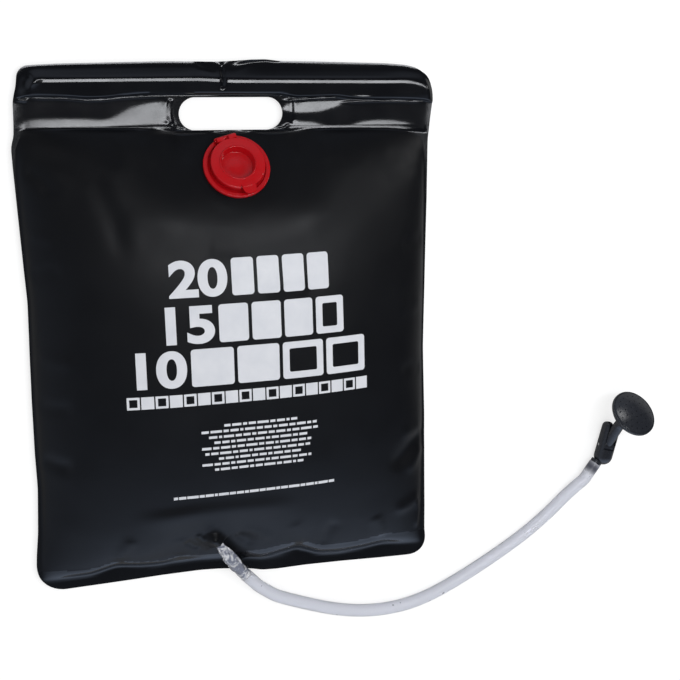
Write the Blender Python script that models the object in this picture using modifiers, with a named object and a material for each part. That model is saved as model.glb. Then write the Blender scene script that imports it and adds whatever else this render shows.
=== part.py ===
# Camp shower bag: a flat two-film water bag lying on its back, with a hinged filler lid,
# a hose and a tilting shower head. Metres, +Z up, +Y towards the hand hole, floor at Z = 0.
import math

import bmesh
import bpy
from mathutils import Matrix, Vector

# Shared clearances and modelling values
GAP = 0.0003
OVERRUN = 0.004
MERGE = 0.00001
OFF_BEAT_SHARE = 0.25
SHARP_ANGLE = math.radians(35)

# Bag films and their outline
FILM = 0.0004
BAG_WIDTH = 0.400
BAG_HEIGHT = 0.500
TOP_RIGHT_CORNER = 0.016
TOP_LEFT_CORNER = 0.009
BOTTOM_LEFT_CORNER = 0.028
BOTTOM_RIGHT_CORNER = 0.020
SIDE_WELD = 0.006
SIDE_PULL = 0.0035
SIDE_STEPS = 8
BOTTOM_WELD = 0.012
HEM_HEIGHT = 0.0276
BAND_HEIGHT = 0.0345
WELD_LIFT = 0.007
FRONT_RISE = 0.048
BACK_FALL = 0.014
FULLNESS_SHARE = 2.4
SHOULDER_SHARE = 0.6
CHAMBER_COLUMNS = 24
CHAMBER_ROWS = 20
HEM_ROWS = 8
PATCH_LIFT_MARGIN = 0.006
PATCH_LIFT_BLEND = 0.020
CORNER_STEPS = 6

# Hand hole
HAND_HOLE_WIDTH = 0.100
HAND_HOLE_HEIGHT = 0.0305
HAND_HOLE_SHARE = 0.546
HAND_HOLE_STEPS = 12

# Stiffening rods in the hem
ROD_RADIUS = 0.006
ROD_WALL = 0.0012
ROD_END = 0.178
ROD_PART_X = -0.008
ROD_MIDDLE_GAP = 0.012
ROD_SEAT = 0.0005
ROD_SIDES = 16
HEM_MARGIN = 0.0013
HEM_RISE = 0.0063
HEM_FADE = 0.016

# Filler valve
FILLER_DROP = 0.0305
FILLER_TILT = math.radians(30)
FILLER_TURN = math.radians(17)
FILLER_MARGIN = (0.020, 0.002)
FILLER_BLEND = (0.048, 0.041)
FLANGE_THICKNESS = 0.0016
RIM_WIDTH = 0.0045
RIM_HEIGHT = 0.0032
RIM_ROUND = 0.0008
BORE_RADIUS = 0.0178
NECK_WALL = 0.0042
NECK_HEIGHT = 0.0065
LID_THICKNESS = 0.0020
LID_ROUND = 0.0007
LID_GROOVE = 0.0015
SKIRT_GAP = 0.0022
SKIRT_WALL = 0.0018
SKIRT_DEPTH = 0.0032
SEAL_INSET = 0.0007
SEAL_THICKNESS = 0.0010
PLUG_CLEARANCE = 0.0005
PLUG_TAPER = 0.0012
PLUG_WALL = 0.0013
PLUG_FLOOR = 0.0015
PLUG_LIFT = 0.0008
TAB_WIDTH = 0.013
TAB_OVERHANG = 0.0070
NOTCH_WIDTH = 0.0040
NOTCH_DEPTH = 0.0045
FILLER_STEPS = 44

# Filler lid hinge
HINGE_STANDOFF = 0.0030
HINGE_HEIGHT = 0.0058
KNUCKLE_RADIUS = 0.0022
KNUCKLE_LENGTH = 0.0034
EAR_LENGTH = 0.0080
HINGE_PIN_RADIUS = 0.0010
HINGE_HEAD_RADIUS = 0.0018
HINGE_HEAD_LENGTH = 0.0008
HINGE_POST = 0.0030
KNUCKLE_STEPS = 18

# Outlet: weld plate under the front film, clear sleeve and barbed joiner.
# Route points are measured from the middle of the bag's bottom edge.
OUTLET_X = -0.0265
OUTLET_RISE = 0.0285
OUTLET_TILT = math.radians(30)
OUTLET_MARGIN = (0.016, 0.004)
OUTLET_BLEND = (0.041, 0.028)
PLATE_RADIUS = 0.018
PLATE_THICKNESS = 0.0012
PLATE_STEPS = 28
SPOUT_RADIUS = 0.0074
SPOUT_WALL = 0.0010
SPOUT_SAMPLES = 14
SPOUT_ROUTE = (
    (-0.0330, 0.0510, 0.0120),
    (-0.0270, 0.0410, 0.0262),
    (-0.0165, 0.0250, 0.0268),
    (-0.0060, 0.0098, 0.0200),
    (0.0020, -0.0006, 0.0158),
    (0.0048, -0.0036, 0.0148),
)
JOINER_BORE = 0.0026
JOINER_RADIUS = 0.0042
JOINER_BARB = 0.0049
JOINER_HALF = 0.0100
JOINER_COLLAR = 0.0066
JOINER_COLLAR_LENGTH = 0.0020
BARB_COUNT = 3
TIP_SHARE = 0.82

# Hose
HOSE_RADIUS = 0.0065
HOSE_FLOOR_GAP = 0.0001
HOSE_STRAIGHT = 0.009
HOSE_SAMPLES = 22
HOSE_ROUTE = (
    (0.0370, -0.0326, 0.0076),
    (0.0520, -0.0394, 0.0068),
    (0.0747, -0.0479, 0.0066),
    (0.1009, -0.0563, 0.0066),
    (0.1274, -0.0618, 0.0066),
    (0.1542, -0.0636, 0.0066),
    (0.1814, -0.0613, 0.0066),
    (0.2087, -0.0540, 0.0066),
    (0.2363, -0.0422, 0.0066),
    (0.2640, -0.0282, 0.0066),
    (0.2919, -0.0126, 0.0066),
    (0.3199, 0.0050, 0.0068),
    (0.3477, 0.0268, 0.0076),
    (0.3660, 0.0440, 0.0088),
)

# Shower head valve body
PIVOT_X = 0.4112
PIVOT_RISE = 0.096
HEAD_TURN = math.radians(75)
BODY_RADIUS = 0.010
BODY_BACK = 0.0215
BODY_FRONT = 0.0265
BODY_TIP_ROUND = 0.0060
BODY_STEPS = 28
SLOT_WIDTH = 0.0128
SLOT_WALL_ANGLE = math.radians(120)
INLET_TURN = math.radians(158)
INLET_ASIDE = 0.003
INLET_COLLAR_RADIUS = 0.0062
INLET_COLLAR_START = 0.007
INLET_COLLAR_END = 0.0105
INLET_BARB_LENGTH = 0.0122
INLET_BORE = 0.0026
VALVE_SEAL_RADIUS = 0.0044
VALVE_SEAL_LENGTH = 0.0031
PIVOT_PIN_RADIUS = 0.0015
PIVOT_PIN_INSET = 0.0004
ARC_STEPS = 5

# Shower head neck and hub
HUB_RADIUS = 0.0070
HUB_SIDE_GAP = 0.0003
STEM_RADIUS = 0.0058
STEM_BORE = 0.0032
STEM_STRAIGHT = 0.027
STEM_BEND_RADIUS = 0.025
STEM_BEND = math.radians(22)
STEM_END = 0.008
NECK_REST = math.radians(27)
HUB_SEAL_RING = 0.0042
HUB_SEAL_CORD = 0.0005
HUB_SEAL_STEPS = 20
HUB_SEAL_SIDES = 6

# Rose
ROSE_RADIUS = 0.0256
ROSE_DEPTH = 0.0140
ROSE_RIM = 0.0036
ROSE_WALL = 0.0016
ROSE_SLEEVE = 0.0070
ROSE_LEDGE = 0.0018
ROSE_CONE_SHARE = 0.55
ROSE_DOME = 0.0040
FACE_THICKNESS = 0.0014
ROSE_SEAL_THICKNESS = 0.0008
ROSE_HOLE = 0.0006
ROSE_HOLE_PITCH = 0.0064
ROSE_RINGS = 3
ROSE_STEPS = 40
DOME_STEPS = 5

# Worked out from the values above
BAG_TOP = BAG_HEIGHT / 2
HEM_FOOT = BAG_TOP - HEM_HEIGHT
CHAMBER_TOP = HEM_FOOT - BAND_HEIGHT
CHAMBER_FOOT = BOTTOM_WELD - BAG_TOP
CHAMBER_MIDDLE = (CHAMBER_TOP + CHAMBER_FOOT) / 2
CHAMBER_HALF_HEIGHT = (CHAMBER_TOP - CHAMBER_FOOT) / 2
CHAMBER_HALF_WIDTH = BAG_WIDTH / 2 - SIDE_WELD
HAND_HOLE_Y = CHAMBER_TOP + BAND_HEIGHT * HAND_HOLE_SHARE
ROD_Y = (HEM_FOOT + BAG_TOP) / 2
FRONT_WELD_Z = WELD_LIFT + (FILM + GAP) / 2
BACK_WELD_Z = WELD_LIFT - (FILM + GAP) / 2
HEM_DROP = BACK_WELD_Z - FILM / 2
ROD_Z = FILM + ROD_SEAT + ROD_RADIUS
FILLER_Y = CHAMBER_TOP - FILLER_DROP
OUTLET_Y = CHAMBER_FOOT + OUTLET_RISE
PIVOT_Y = PIVOT_RISE - BAG_TOP
NECK_RADIUS = BORE_RADIUS + NECK_WALL
LID_RADIUS = NECK_RADIUS + SKIRT_GAP + SKIRT_WALL
RIM_INNER = LID_RADIUS + LID_GROOVE
FLANGE_RADIUS = RIM_INNER + RIM_WIDTH
HINGE_REACH = LID_RADIUS + HINGE_STANDOFF
TAB_REACH = LID_RADIUS + TAB_OVERHANG
SEAL_INNER = BORE_RADIUS + SEAL_INSET
SEAL_OUTER = NECK_RADIUS - SEAL_INSET
LID_UNDERSIDE = NECK_HEIGHT + SEAL_THICKNESS + 2 * GAP
LID_TOP = LID_UNDERSIDE + LID_THICKNESS
HUB_HALF = SLOT_WIDTH / 2 - HUB_SIDE_GAP
SEAT_RADIUS = HUB_RADIUS + GAP

# Colours and finishes as colour, roughness, metallic and alpha
FINISHES = {
    "film_black": ((0.020, 0.022, 0.026), 0.38, 0.0, 1.0),
    "film_back": ((0.018, 0.019, 0.022), 0.45, 0.0, 1.0),
    "valve_red": ((0.50, 0.012, 0.020), 0.32, 0.0, 1.0),
    "seal_rubber": ((0.03, 0.03, 0.03), 0.60, 0.0, 1.0),
    "rod_white": ((0.75, 0.75, 0.72), 0.40, 0.0, 1.0),
    "clear_vinyl": ((0.80, 0.82, 0.86), 0.15, 0.0, 0.45),
    "hose_vinyl": ((0.74, 0.75, 0.80), 0.28, 0.0, 0.75),
    "head_black": ((0.025, 0.026, 0.030), 0.30, 0.0, 1.0),
    "pin_steel": ((0.60, 0.60, 0.60), 0.30, 1.0, 1.0),
}


def clear_scene():
    for obj in list(bpy.data.objects):
        bpy.data.objects.remove(obj, do_unlink=True)


def make_collection(name):
    collection = bpy.data.collections.new(name)
    bpy.context.scene.collection.children.link(collection)
    return collection


def make_material(name, finish):
    colour, roughness, metallic, alpha = FINISHES[finish]
    material = bpy.data.materials.new(name)
    material.use_nodes = True
    shader = material.node_tree.nodes["Principled BSDF"]
    shader.inputs["Base Color"].default_value = (*colour, 1.0)
    shader.inputs["Roughness"].default_value = roughness
    shader.inputs["Metallic"].default_value = metallic
    shader.inputs["Alpha"].default_value = alpha
    return material


def make_empty(name, parent=None, location=(0, 0, 0), rotation=(0, 0, 0)):
    empty = bpy.data.objects.new(name, None)
    CUTTERS.objects.link(empty)
    empty.parent = parent
    empty.location = location
    empty.rotation_euler = rotation
    empty.hide_render = True
    return empty


def place(obj, parent=None, location=(0, 0, 0), rotation=(0, 0, 0)):
    obj.parent = parent
    obj.location = location
    obj.rotation_euler = rotation
    return obj


def as_part(obj, finish):
    PARTS.objects.link(obj)
    obj.data.materials.append(make_material(obj.name, finish))
    return obj


def as_cutter(obj):
    CUTTERS.objects.link(obj)
    obj.hide_render = True
    obj.display_type = "WIRE"
    return obj


def mesh_object(name, bm):
    mesh = bpy.data.meshes.new(name)
    bm.to_mesh(mesh)
    bm.free()
    mesh.shade_smooth()
    mesh.set_sharp_from_angle(angle=SHARP_ANGLE)
    return bpy.data.objects.new(name, mesh)


def turned(name, profile, steps, closed=False):
    # A profile of (radius, height) points turned about the object's Z axis.
    points = [Vector((radius, 0, height)) for radius, height in profile]
    count = len(points)
    edges = [(i, (i + 1) % count) for i in range(count if closed else count - 1)]
    mesh = bpy.data.meshes.new(name)
    mesh.from_pydata(points, edges, [])
    obj = bpy.data.objects.new(name, mesh)
    screw = obj.modifiers.new("turn", "SCREW")
    screw.axis = "Z"
    screw.angle = math.tau
    screw.steps = steps
    screw.render_steps = steps
    screw.use_merge_vertices = True
    screw.merge_threshold = MERGE
    screw.use_smooth_shade = True
    return obj


def prism(name, outline, low, high):
    # A flat outline in XY, extruded from low to high along Z.
    bm = bmesh.new()
    verts = [bm.verts.new((x, y, low)) for x, y in outline]
    face = bm.faces.new(verts)
    if face.normal.z > 0:
        face.normal_flip()
    lifted = bmesh.ops.extrude_face_region(bm, geom=[face])
    moved = [item for item in lifted["geom"] if isinstance(item, bmesh.types.BMVert)]
    bmesh.ops.translate(bm, verts=moved, vec=(0, 0, high - low))
    bmesh.ops.recalc_face_normals(bm, faces=bm.faces)
    return mesh_object(name, bm)


def rod_shape(name, radius, low, high, sides, off_beat=0.0):
    # A solid cylinder on Z, turned by a share of one side where its corners must miss others.
    bm = bmesh.new()
    turn = Matrix.Rotation(math.tau / sides * off_beat, 4, "Z")
    move = Matrix.Translation((0, 0, (low + high) / 2)) @ turn
    bmesh.ops.create_cone(bm, cap_ends=True, segments=sides, radius1=radius, radius2=radius,
                          depth=high - low, matrix=move)
    return mesh_object(name, bm)


def block(name, low, high):
    bm = bmesh.new()
    size = Vector(high) - Vector(low)
    middle = (Vector(high) + Vector(low)) / 2
    matrix = Matrix.Translation(middle) @ Matrix.Diagonal((*size, 1))
    bmesh.ops.create_cube(bm, size=1, matrix=matrix)
    return mesh_object(name, bm)


def arc(centre, radius, start, end, steps):
    angles = [start + (end - start) * i / steps for i in range(steps + 1)]
    return [(centre[0] + radius * math.cos(a), centre[1] + radius * math.sin(a)) for a in angles]


def smooth_route(points, samples):
    # Evenly stepped points on a smooth curve through the route's own points.
    route = [Vector(p) for p in points]
    route = [2 * route[0] - route[1]] + route + [2 * route[-1] - route[-2]]
    dense = []
    fine_steps = 24
    for before, start, end, after in zip(route, route[1:], route[2:], route[3:]):
        knots = [0.0]
        for a, b in ((before, start), (start, end), (end, after)):
            knots.append(knots[-1] + math.sqrt((b - a).length))
        for i in range(fine_steps):
            t = knots[1] + (knots[2] - knots[1]) * i / fine_steps
            dense.append(spline_point((before, start, end, after), knots, t))
    dense.append(route[-2])
    return even_steps(dense, samples)


def spline_point(corners, knots, t):
    level = list(corners)
    for depth in range(1, 3):
        level = [
            blend(level[i], level[i + 1], knots[i], knots[i + depth], t)
            for i in range(len(level) - 1)
        ]
    return blend(level[0], level[1], knots[1], knots[2], t)


def blend(a, b, start, end, t):
    return a + (b - a) * ((t - start) / (end - start))


def even_steps(points, samples):
    lengths = [0.0]
    for a, b in zip(points, points[1:]):
        lengths.append(lengths[-1] + (b - a).length)
    result = []
    index = 0
    for i in range(samples):
        target = lengths[-1] * i / (samples - 1)
        while index < len(points) - 2 and lengths[index + 1] < target:
            index += 1
        result.append(blend(points[index], points[index + 1], lengths[index], lengths[index + 1], target))
    return result


def tube_curve(name, points, radius, resolution, capped=True):
    curve = bpy.data.curves.new(name, "CURVE")
    curve.dimensions = "3D"
    curve.bevel_depth = radius
    curve.bevel_resolution = resolution
    curve.use_fill_caps = capped
    spline = curve.splines.new("POLY")
    spline.points.add(len(points) - 1)
    for point, place_at in zip(spline.points, points):
        point.co = (*place_at, 1)
    return bpy.data.objects.new(name, curve)


def tube_mesh(name, points, radius, resolution, capped=True):
    # The same tube as a welded mesh, for pieces that are cut, joined or used as cutters.
    source = tube_curve(name, points, radius, resolution, capped)
    CUTTERS.objects.link(source)
    graph = bpy.context.evaluated_depsgraph_get()
    mesh = bpy.data.meshes.new_from_object(source.evaluated_get(graph))
    matrix = source.matrix_world.copy()
    bpy.data.objects.remove(source, do_unlink=True)
    bm = bmesh.new()
    bm.from_mesh(mesh)
    bmesh.ops.remove_doubles(bm, verts=bm.verts, dist=MERGE)
    obj = mesh_object(name, bm)
    obj.matrix_world = matrix
    return obj


def combine(target, operand, operation):
    modifier = target.modifiers.new(operand.name, "BOOLEAN")
    modifier.operation = operation
    modifier.solver = "EXACT"
    modifier.object = operand
    return target


def smooth_share(t):
    t = min(1.0, max(0.0, t))
    return t * t * (3 - 2 * t)


def pillow_share(x, y):
    # How far the film is blown up at a place, from 0 at the welds to 1 in the middle.
    u = abs(x) / CHAMBER_HALF_WIDTH
    v = abs(y - CHAMBER_MIDDLE) / CHAMBER_HALF_HEIGHT
    if u >= 1 or v >= 1:
        return 0.0
    return ((1 - u ** FULLNESS_SHARE) * (1 - v ** FULLNESS_SHARE)) ** SHOULDER_SHARE


def hem_share(x, y):
    # The sleeve's bulge over the rods, fading out at both ends.
    half = HEM_HEIGHT / 2 - HEM_MARGIN
    across = abs(y - ROD_Y) / half
    if across >= 1:
        return 0.0
    end_fade = smooth_share((BAG_WIDTH / 2 - abs(x)) / HEM_FADE)
    return math.cos(math.pi / 2 * across) ** 2 * end_fade


def patch_share(x, y, radius, margins, fades):
    # How far a flat welded-on patch holds the film at a place measured from its middle.
    share = 1.0
    for distance, margin, fade in zip((abs(x), abs(y)), margins, fades):
        share *= smooth_share((radius + margin + fade - distance) / fade)
    return share


def held_rise(rise, x, y, plane, radius, margins, fades):
    # A welded-on patch draws the film down to its plane from afar, and lifts it only near by.
    share = patch_share(x, y, radius, margins, fades)
    near = patch_share(x, y, radius, (margins[0], PATCH_LIFT_MARGIN), (fades[0], PATCH_LIFT_BLEND))
    return rise + (share if plane < rise else min(share, near)) * (plane - rise)


def front_height(x, y):
    rise = FRONT_RISE * pillow_share(x, y)
    if CHAMBER_FOOT < y < CHAMBER_TOP:
        plane = math.tan(FILLER_TILT) * (CHAMBER_TOP - y)
        rise = held_rise(rise, x, y - FILLER_Y, plane, FLANGE_RADIUS, FILLER_MARGIN, FILLER_BLEND)
        plane = math.tan(OUTLET_TILT) * (y - CHAMBER_FOOT)
        rise = held_rise(rise, x - OUTLET_X, y - OUTLET_Y, plane, PLATE_RADIUS, OUTLET_MARGIN, OUTLET_BLEND)
    return FRONT_WELD_Z + rise + HEM_RISE * hem_share(x, y)


def back_height(x, y):
    fall = BACK_FALL * pillow_share(x, y) + HEM_DROP * hem_share(x, y)
    return max(FILM / 2, BACK_WELD_Z - fall)


def chamber_lines(low, high, count):
    # Grid lines that crowd towards the welds, where the film curves most.
    middle = (low + high) / 2
    half = (high - low) / 2
    return [middle + half * math.sin(math.pi * (i / count - 0.5)) for i in range(count + 1)]


def grid_lines():
    side = BAG_WIDTH / 2 + OVERRUN
    end = BAG_TOP + OVERRUN
    columns = chamber_lines(-CHAMBER_HALF_WIDTH, CHAMBER_HALF_WIDTH, CHAMBER_COLUMNS)
    rows = chamber_lines(CHAMBER_FOOT, CHAMBER_TOP, CHAMBER_ROWS)
    rows.append(HAND_HOLE_Y)
    rows += [HEM_FOOT + HEM_HEIGHT * i / HEM_ROWS for i in range(HEM_ROWS + 1)]
    return [-side] + columns + [side], [-end] + rows + [end]


def film_sheet(name, height_at):
    columns, rows = grid_lines()
    bm = bmesh.new()
    wide = len(columns) - 1
    tall = len(rows) - 1
    bmesh.ops.create_grid(bm, x_segments=wide, y_segments=tall, size=1)
    for vert in bm.verts:
        x = columns[round((vert.co.x + 1) / 2 * wide)]
        y = rows[round((vert.co.y + 1) / 2 * tall)]
        vert.co = (x, y, height_at(x, y))
    obj = mesh_object(name, bm)
    wall = obj.modifiers.new("film", "SOLIDIFY")
    wall.thickness = FILM
    wall.offset = 0
    return obj


def side_points(edge, start):
    # Steps down or up one side, which the filled bag pulls in a little at its middle.
    end = BAG_TOP - TOP_RIGHT_CORNER if start < 0 else BOTTOM_LEFT_CORNER - BAG_TOP
    points = []
    for i in range(1, SIDE_STEPS):
        y = start + (end - start) * i / SIDE_STEPS
        pull = SIDE_PULL * (1 - (y / BAG_TOP) ** 2)
        points.append((edge - math.copysign(pull, edge), y))
    return points


def bag_outline():
    half = BAG_WIDTH / 2
    corners = (
        (half, BAG_TOP, TOP_RIGHT_CORNER, 0),
        (-half, BAG_TOP, TOP_LEFT_CORNER, math.pi / 2),
        (-half, -BAG_TOP, BOTTOM_LEFT_CORNER, math.pi),
        (half, -BAG_TOP, BOTTOM_RIGHT_CORNER, 3 * math.pi / 2),
    )
    points = []
    for x, y, radius, start in corners:
        centre = (x - math.copysign(radius, x), y - math.copysign(radius, y))
        points += arc(centre, radius, start, start + math.pi / 2, CORNER_STEPS)
        if start in (math.pi / 2, 3 * math.pi / 2):
            points += side_points(math.copysign(half, points[-1][0]), points[-1][1])
    return points


def hand_hole_outline():
    radius = HAND_HOLE_HEIGHT / 2
    reach = HAND_HOLE_WIDTH / 2 - radius
    right = arc((reach, HAND_HOLE_Y), radius, -math.pi / 2, math.pi / 2, HAND_HOLE_STEPS)
    left = arc((-reach, HAND_HOLE_Y), radius, math.pi / 2, 3 * math.pi / 2, HAND_HOLE_STEPS)
    return right + left


def build_films(filler_frame, spout_points):
    reach = WELD_LIFT + FRONT_RISE + OVERRUN
    outline = as_cutter(prism("bag_outline", bag_outline(), -OVERRUN, reach))
    hand_hole = as_cutter(prism("hand_hole_cut", hand_hole_outline(), -OVERRUN, reach))
    filler_hole = rod_shape("filler_hole_cut", BORE_RADIUS, -OVERRUN, OVERRUN, FILLER_STEPS)
    as_cutter(place(filler_hole, filler_frame))
    spout_hole = tube_mesh("spout_hole_cut", spout_points, SPOUT_RADIUS + GAP, 4)
    as_cutter(spout_hole)
    front = as_part(film_sheet("front_panel", front_height), "film_black")
    back = as_part(film_sheet("back_panel", back_height), "film_back")
    for panel in (front, back):
        combine(panel, outline, "INTERSECT")
        combine(panel, hand_hole, "DIFFERENCE")
    combine(front, filler_hole, "DIFFERENCE")
    combine(front, spout_hole, "DIFFERENCE")
    return spout_hole


def build_rods():
    inner = ROD_RADIUS - ROD_WALL
    left = ROD_PART_X - ROD_MIDDLE_GAP / 2
    right = ROD_PART_X + ROD_MIDDLE_GAP / 2
    for name, start, end in (("handle_rod_left", -ROD_END, left), ("handle_rod_right", right, ROD_END)):
        length = end - start
        profile = [(ROD_RADIUS, length), (ROD_RADIUS, 0), (inner, 0), (inner, length)]
        rod = as_part(turned(name, profile, ROD_SIDES, closed=True), "rod_white")
        place(rod, None, (start, ROD_Y, ROD_Z), (0, math.pi / 2, 0))


def build_filler_base(frame):
    profile = [
        (BORE_RADIUS, NECK_HEIGHT),
        (NECK_RADIUS, NECK_HEIGHT),
        (NECK_RADIUS, FLANGE_THICKNESS),
        (RIM_INNER, FLANGE_THICKNESS),
    ]
    profile += arc((RIM_INNER + RIM_ROUND, RIM_HEIGHT - RIM_ROUND), RIM_ROUND, math.pi, math.pi / 2, 2)
    profile += arc((FLANGE_RADIUS - RIM_ROUND, RIM_HEIGHT - RIM_ROUND), RIM_ROUND, math.pi / 2, 0, 2)
    profile += [(FLANGE_RADIUS, 0), (BORE_RADIUS, 0)]
    base = as_part(turned("filler_base", profile, FILLER_STEPS, closed=True), "valve_red")
    place(base, frame)
    half = KNUCKLE_LENGTH / 2
    inset = half - GAP
    low = (-inset, HINGE_REACH - HINGE_POST / 2, FLANGE_THICKNESS / 2)
    high = (inset, HINGE_REACH + HINGE_POST / 2, HINGE_HEIGHT)
    post = as_cutter(place(block("hinge_post", low, high), frame))
    knuckle = rod_shape("base_knuckle", KNUCKLE_RADIUS, -half, half, KNUCKLE_STEPS)
    as_cutter(place(knuckle, frame, (0, HINGE_REACH, HINGE_HEIGHT), (0, math.pi / 2, 0)))
    combine(base, post, "UNION")
    combine(base, knuckle, "UNION")
    combine(base, hinge_bore(frame, "base_hinge_bore"), "DIFFERENCE")


def hinge_bore(frame, name):
    reach = KNUCKLE_LENGTH + EAR_LENGTH
    bore = rod_shape(name, HINGE_PIN_RADIUS + GAP, -reach, reach, KNUCKLE_STEPS)
    return as_cutter(place(bore, frame, (0, HINGE_REACH, HINGE_HEIGHT), (0, math.pi / 2, 0)))


def build_hinge_pin(frame):
    half = KNUCKLE_LENGTH / 2 + EAR_LENGTH + 2 * GAP
    end = half + HINGE_HEAD_LENGTH
    profile = [
        (0, end),
        (HINGE_HEAD_RADIUS, end),
        (HINGE_HEAD_RADIUS, half),
        (HINGE_PIN_RADIUS, half),
        (HINGE_PIN_RADIUS, -half),
        (HINGE_HEAD_RADIUS, -half),
        (HINGE_HEAD_RADIUS, -end),
        (0, -end),
    ]
    pin = as_part(turned("hinge_pin", profile, KNUCKLE_STEPS), "valve_red")
    place(pin, frame, (0, HINGE_REACH, HINGE_HEIGHT), (0, math.pi / 2, 0))


def lid_profile():
    plug_top = BORE_RADIUS - PLUG_CLEARANCE
    plug_foot = plug_top - PLUG_TAPER
    skirt_foot = LID_UNDERSIDE - SKIRT_DEPTH
    profile = [
        (0, PLUG_LIFT + PLUG_FLOOR),
        (plug_foot - PLUG_WALL, PLUG_LIFT + PLUG_FLOOR),
        (plug_top - PLUG_WALL, LID_TOP),
    ]
    profile += arc((LID_RADIUS - LID_ROUND, LID_TOP - LID_ROUND), LID_ROUND, math.pi / 2, 0, 2)
    profile += [
        (LID_RADIUS, skirt_foot),
        (LID_RADIUS - SKIRT_WALL, skirt_foot),
        (LID_RADIUS - SKIRT_WALL, LID_UNDERSIDE),
        (plug_top, LID_UNDERSIDE),
        (plug_foot, PLUG_LIFT),
        (0, PLUG_LIFT),
    ]
    return profile


def tab_outline():
    half = TAB_WIDTH / 2
    root = LID_RADIUS - SKIRT_WALL / 2
    centre = (0, -(TAB_REACH - half))
    tip = arc(centre, half, -math.pi, 0, HAND_HOLE_STEPS)
    return [(half, -root + half)] + [(-half, -root + half)] + tip


def build_filler_lid(frame, hinge):
    # The hinge empty carries the lid, so the lid's frame is shifted back to the valve's axis.
    shift = Vector((0, -HINGE_REACH, -HINGE_HEIGHT))
    lid = as_part(turned("filler_lid", lid_profile(), FILLER_STEPS), "valve_red")
    place(lid, hinge, shift)
    tab = prism("lid_tab", tab_outline(), LID_UNDERSIDE + GAP, LID_TOP - GAP)
    combine(lid, as_cutter(place(tab, hinge, shift)), "UNION")
    half = EAR_LENGTH / 2
    for side, name in ((-1, "left"), (1, "right")):
        middle = side * (KNUCKLE_LENGTH / 2 + GAP + half)
        low = (middle - half + GAP, LID_RADIUS - SKIRT_WALL / 2, HINGE_HEIGHT + GAP)
        high = (middle + half - GAP, HINGE_REACH, LID_TOP - GAP)
        arm = as_cutter(place(block("lid_arm_" + name, low, high), hinge, shift))
        knuckle = rod_shape("lid_knuckle_" + name, KNUCKLE_RADIUS, middle - half, middle + half, KNUCKLE_STEPS)
        as_cutter(place(knuckle, hinge, (0, 0, 0), (0, math.pi / 2, 0)))
        combine(lid, arm, "UNION")
        combine(lid, knuckle, "UNION")
    combine(lid, hinge_bore(frame, "lid_hinge_bore"), "DIFFERENCE")
    side = -TAB_WIDTH / 2
    notch = [(side, -LID_RADIUS - OVERRUN), (side, -LID_RADIUS + NOTCH_DEPTH),
             (side - NOTCH_WIDTH, -LID_RADIUS - OVERRUN)]
    cut = prism("lid_notch_cut", notch, LID_UNDERSIDE - SKIRT_DEPTH - OVERRUN, LID_TOP + OVERRUN)
    combine(lid, as_cutter(place(cut, hinge, shift)), "DIFFERENCE")
    top = LID_UNDERSIDE - GAP
    foot = NECK_HEIGHT + GAP
    ring = [(SEAL_INNER, top), (SEAL_OUTER, top), (SEAL_OUTER, foot), (SEAL_INNER, foot)]
    seal = as_part(turned("lid_seal", ring, FILLER_STEPS, closed=True), "seal_rubber")
    place(seal, hinge, shift)


def build_filler():
    height = FRONT_WELD_Z + math.tan(FILLER_TILT) * FILLER_DROP
    normal = Matrix.Rotation(-FILLER_TILT, 3, "X") @ Vector((0, 0, 1))
    origin = Vector((0, FILLER_Y, height)) + normal * (FILM / 2 + GAP)
    turn = Matrix.Rotation(-FILLER_TILT, 3, "X") @ Matrix.Rotation(FILLER_TURN, 3, "Z")
    frame = make_empty("filler_frame", None, origin, turn.to_euler())
    hinge = make_empty("lid_hinge", frame, (0, HINGE_REACH, HINGE_HEIGHT))
    build_filler_base(frame)
    build_hinge_pin(frame)
    build_filler_lid(frame, hinge)
    return frame


def build_outlet(spout_points, spout_hole):
    slope = OUTLET_TILT
    height = FRONT_WELD_Z + math.tan(slope) * OUTLET_RISE
    normal = Matrix.Rotation(slope, 3, "X") @ Vector((0, 0, 1))
    origin = Vector((OUTLET_X, OUTLET_Y, height)) - normal * (FILM / 2 + GAP + PLATE_THICKNESS)
    plate = as_part(rod_shape("outlet_plate", PLATE_RADIUS, 0, PLATE_THICKNESS, PLATE_STEPS), "film_black")
    place(plate, None, origin, (slope, 0, 0))
    combine(plate, spout_hole, "DIFFERENCE")
    spout = tube_mesh("outlet_spout", spout_points, SPOUT_RADIUS, 4, capped=False)
    as_part(spout, "clear_vinyl")
    wall = spout.modifiers.new("wall", "SOLIDIFY")
    wall.thickness = SPOUT_WALL
    wall.offset = -1


def barb_steps(root, crest, tip, foot, count):
    # Saw-tooth points from the tip down to the foot, each tooth widening away from the tip.
    pitch = (tip - foot) / count
    points = [(root * TIP_SHARE, tip), (crest, tip - pitch), (root, tip - pitch)]
    for i in range(1, count):
        points += [(crest, tip - pitch * (i + 1)), (root, tip - pitch * (i + 1))]
    return points


def build_joiner(end, direction):
    # Barbed both ways: one half sits in the clear sleeve, the other takes the hose.
    collar = JOINER_COLLAR_LENGTH / 2
    upper = barb_steps(JOINER_RADIUS, JOINER_BARB, collar + JOINER_HALF, collar, BARB_COUNT)
    lower = [(radius, -height) for radius, height in reversed(upper)]
    profile = [(JOINER_BORE, collar + JOINER_HALF)] + upper
    profile += [(JOINER_COLLAR, collar), (JOINER_COLLAR, -collar)]
    profile += lower + [(JOINER_BORE, -collar - JOINER_HALF)]
    joiner = as_part(turned("hose_joiner", profile, BODY_STEPS, closed=True), "clear_vinyl")
    origin = end + direction * (GAP + collar)
    place(joiner, None, origin, direction.to_track_quat("Z", "Y").to_euler())
    return origin + direction * (collar + JOINER_HALF + GAP)


def from_bottom_edge(route):
    return [Vector((x, y - BAG_TOP, z)) for x, y, z in route]


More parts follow.
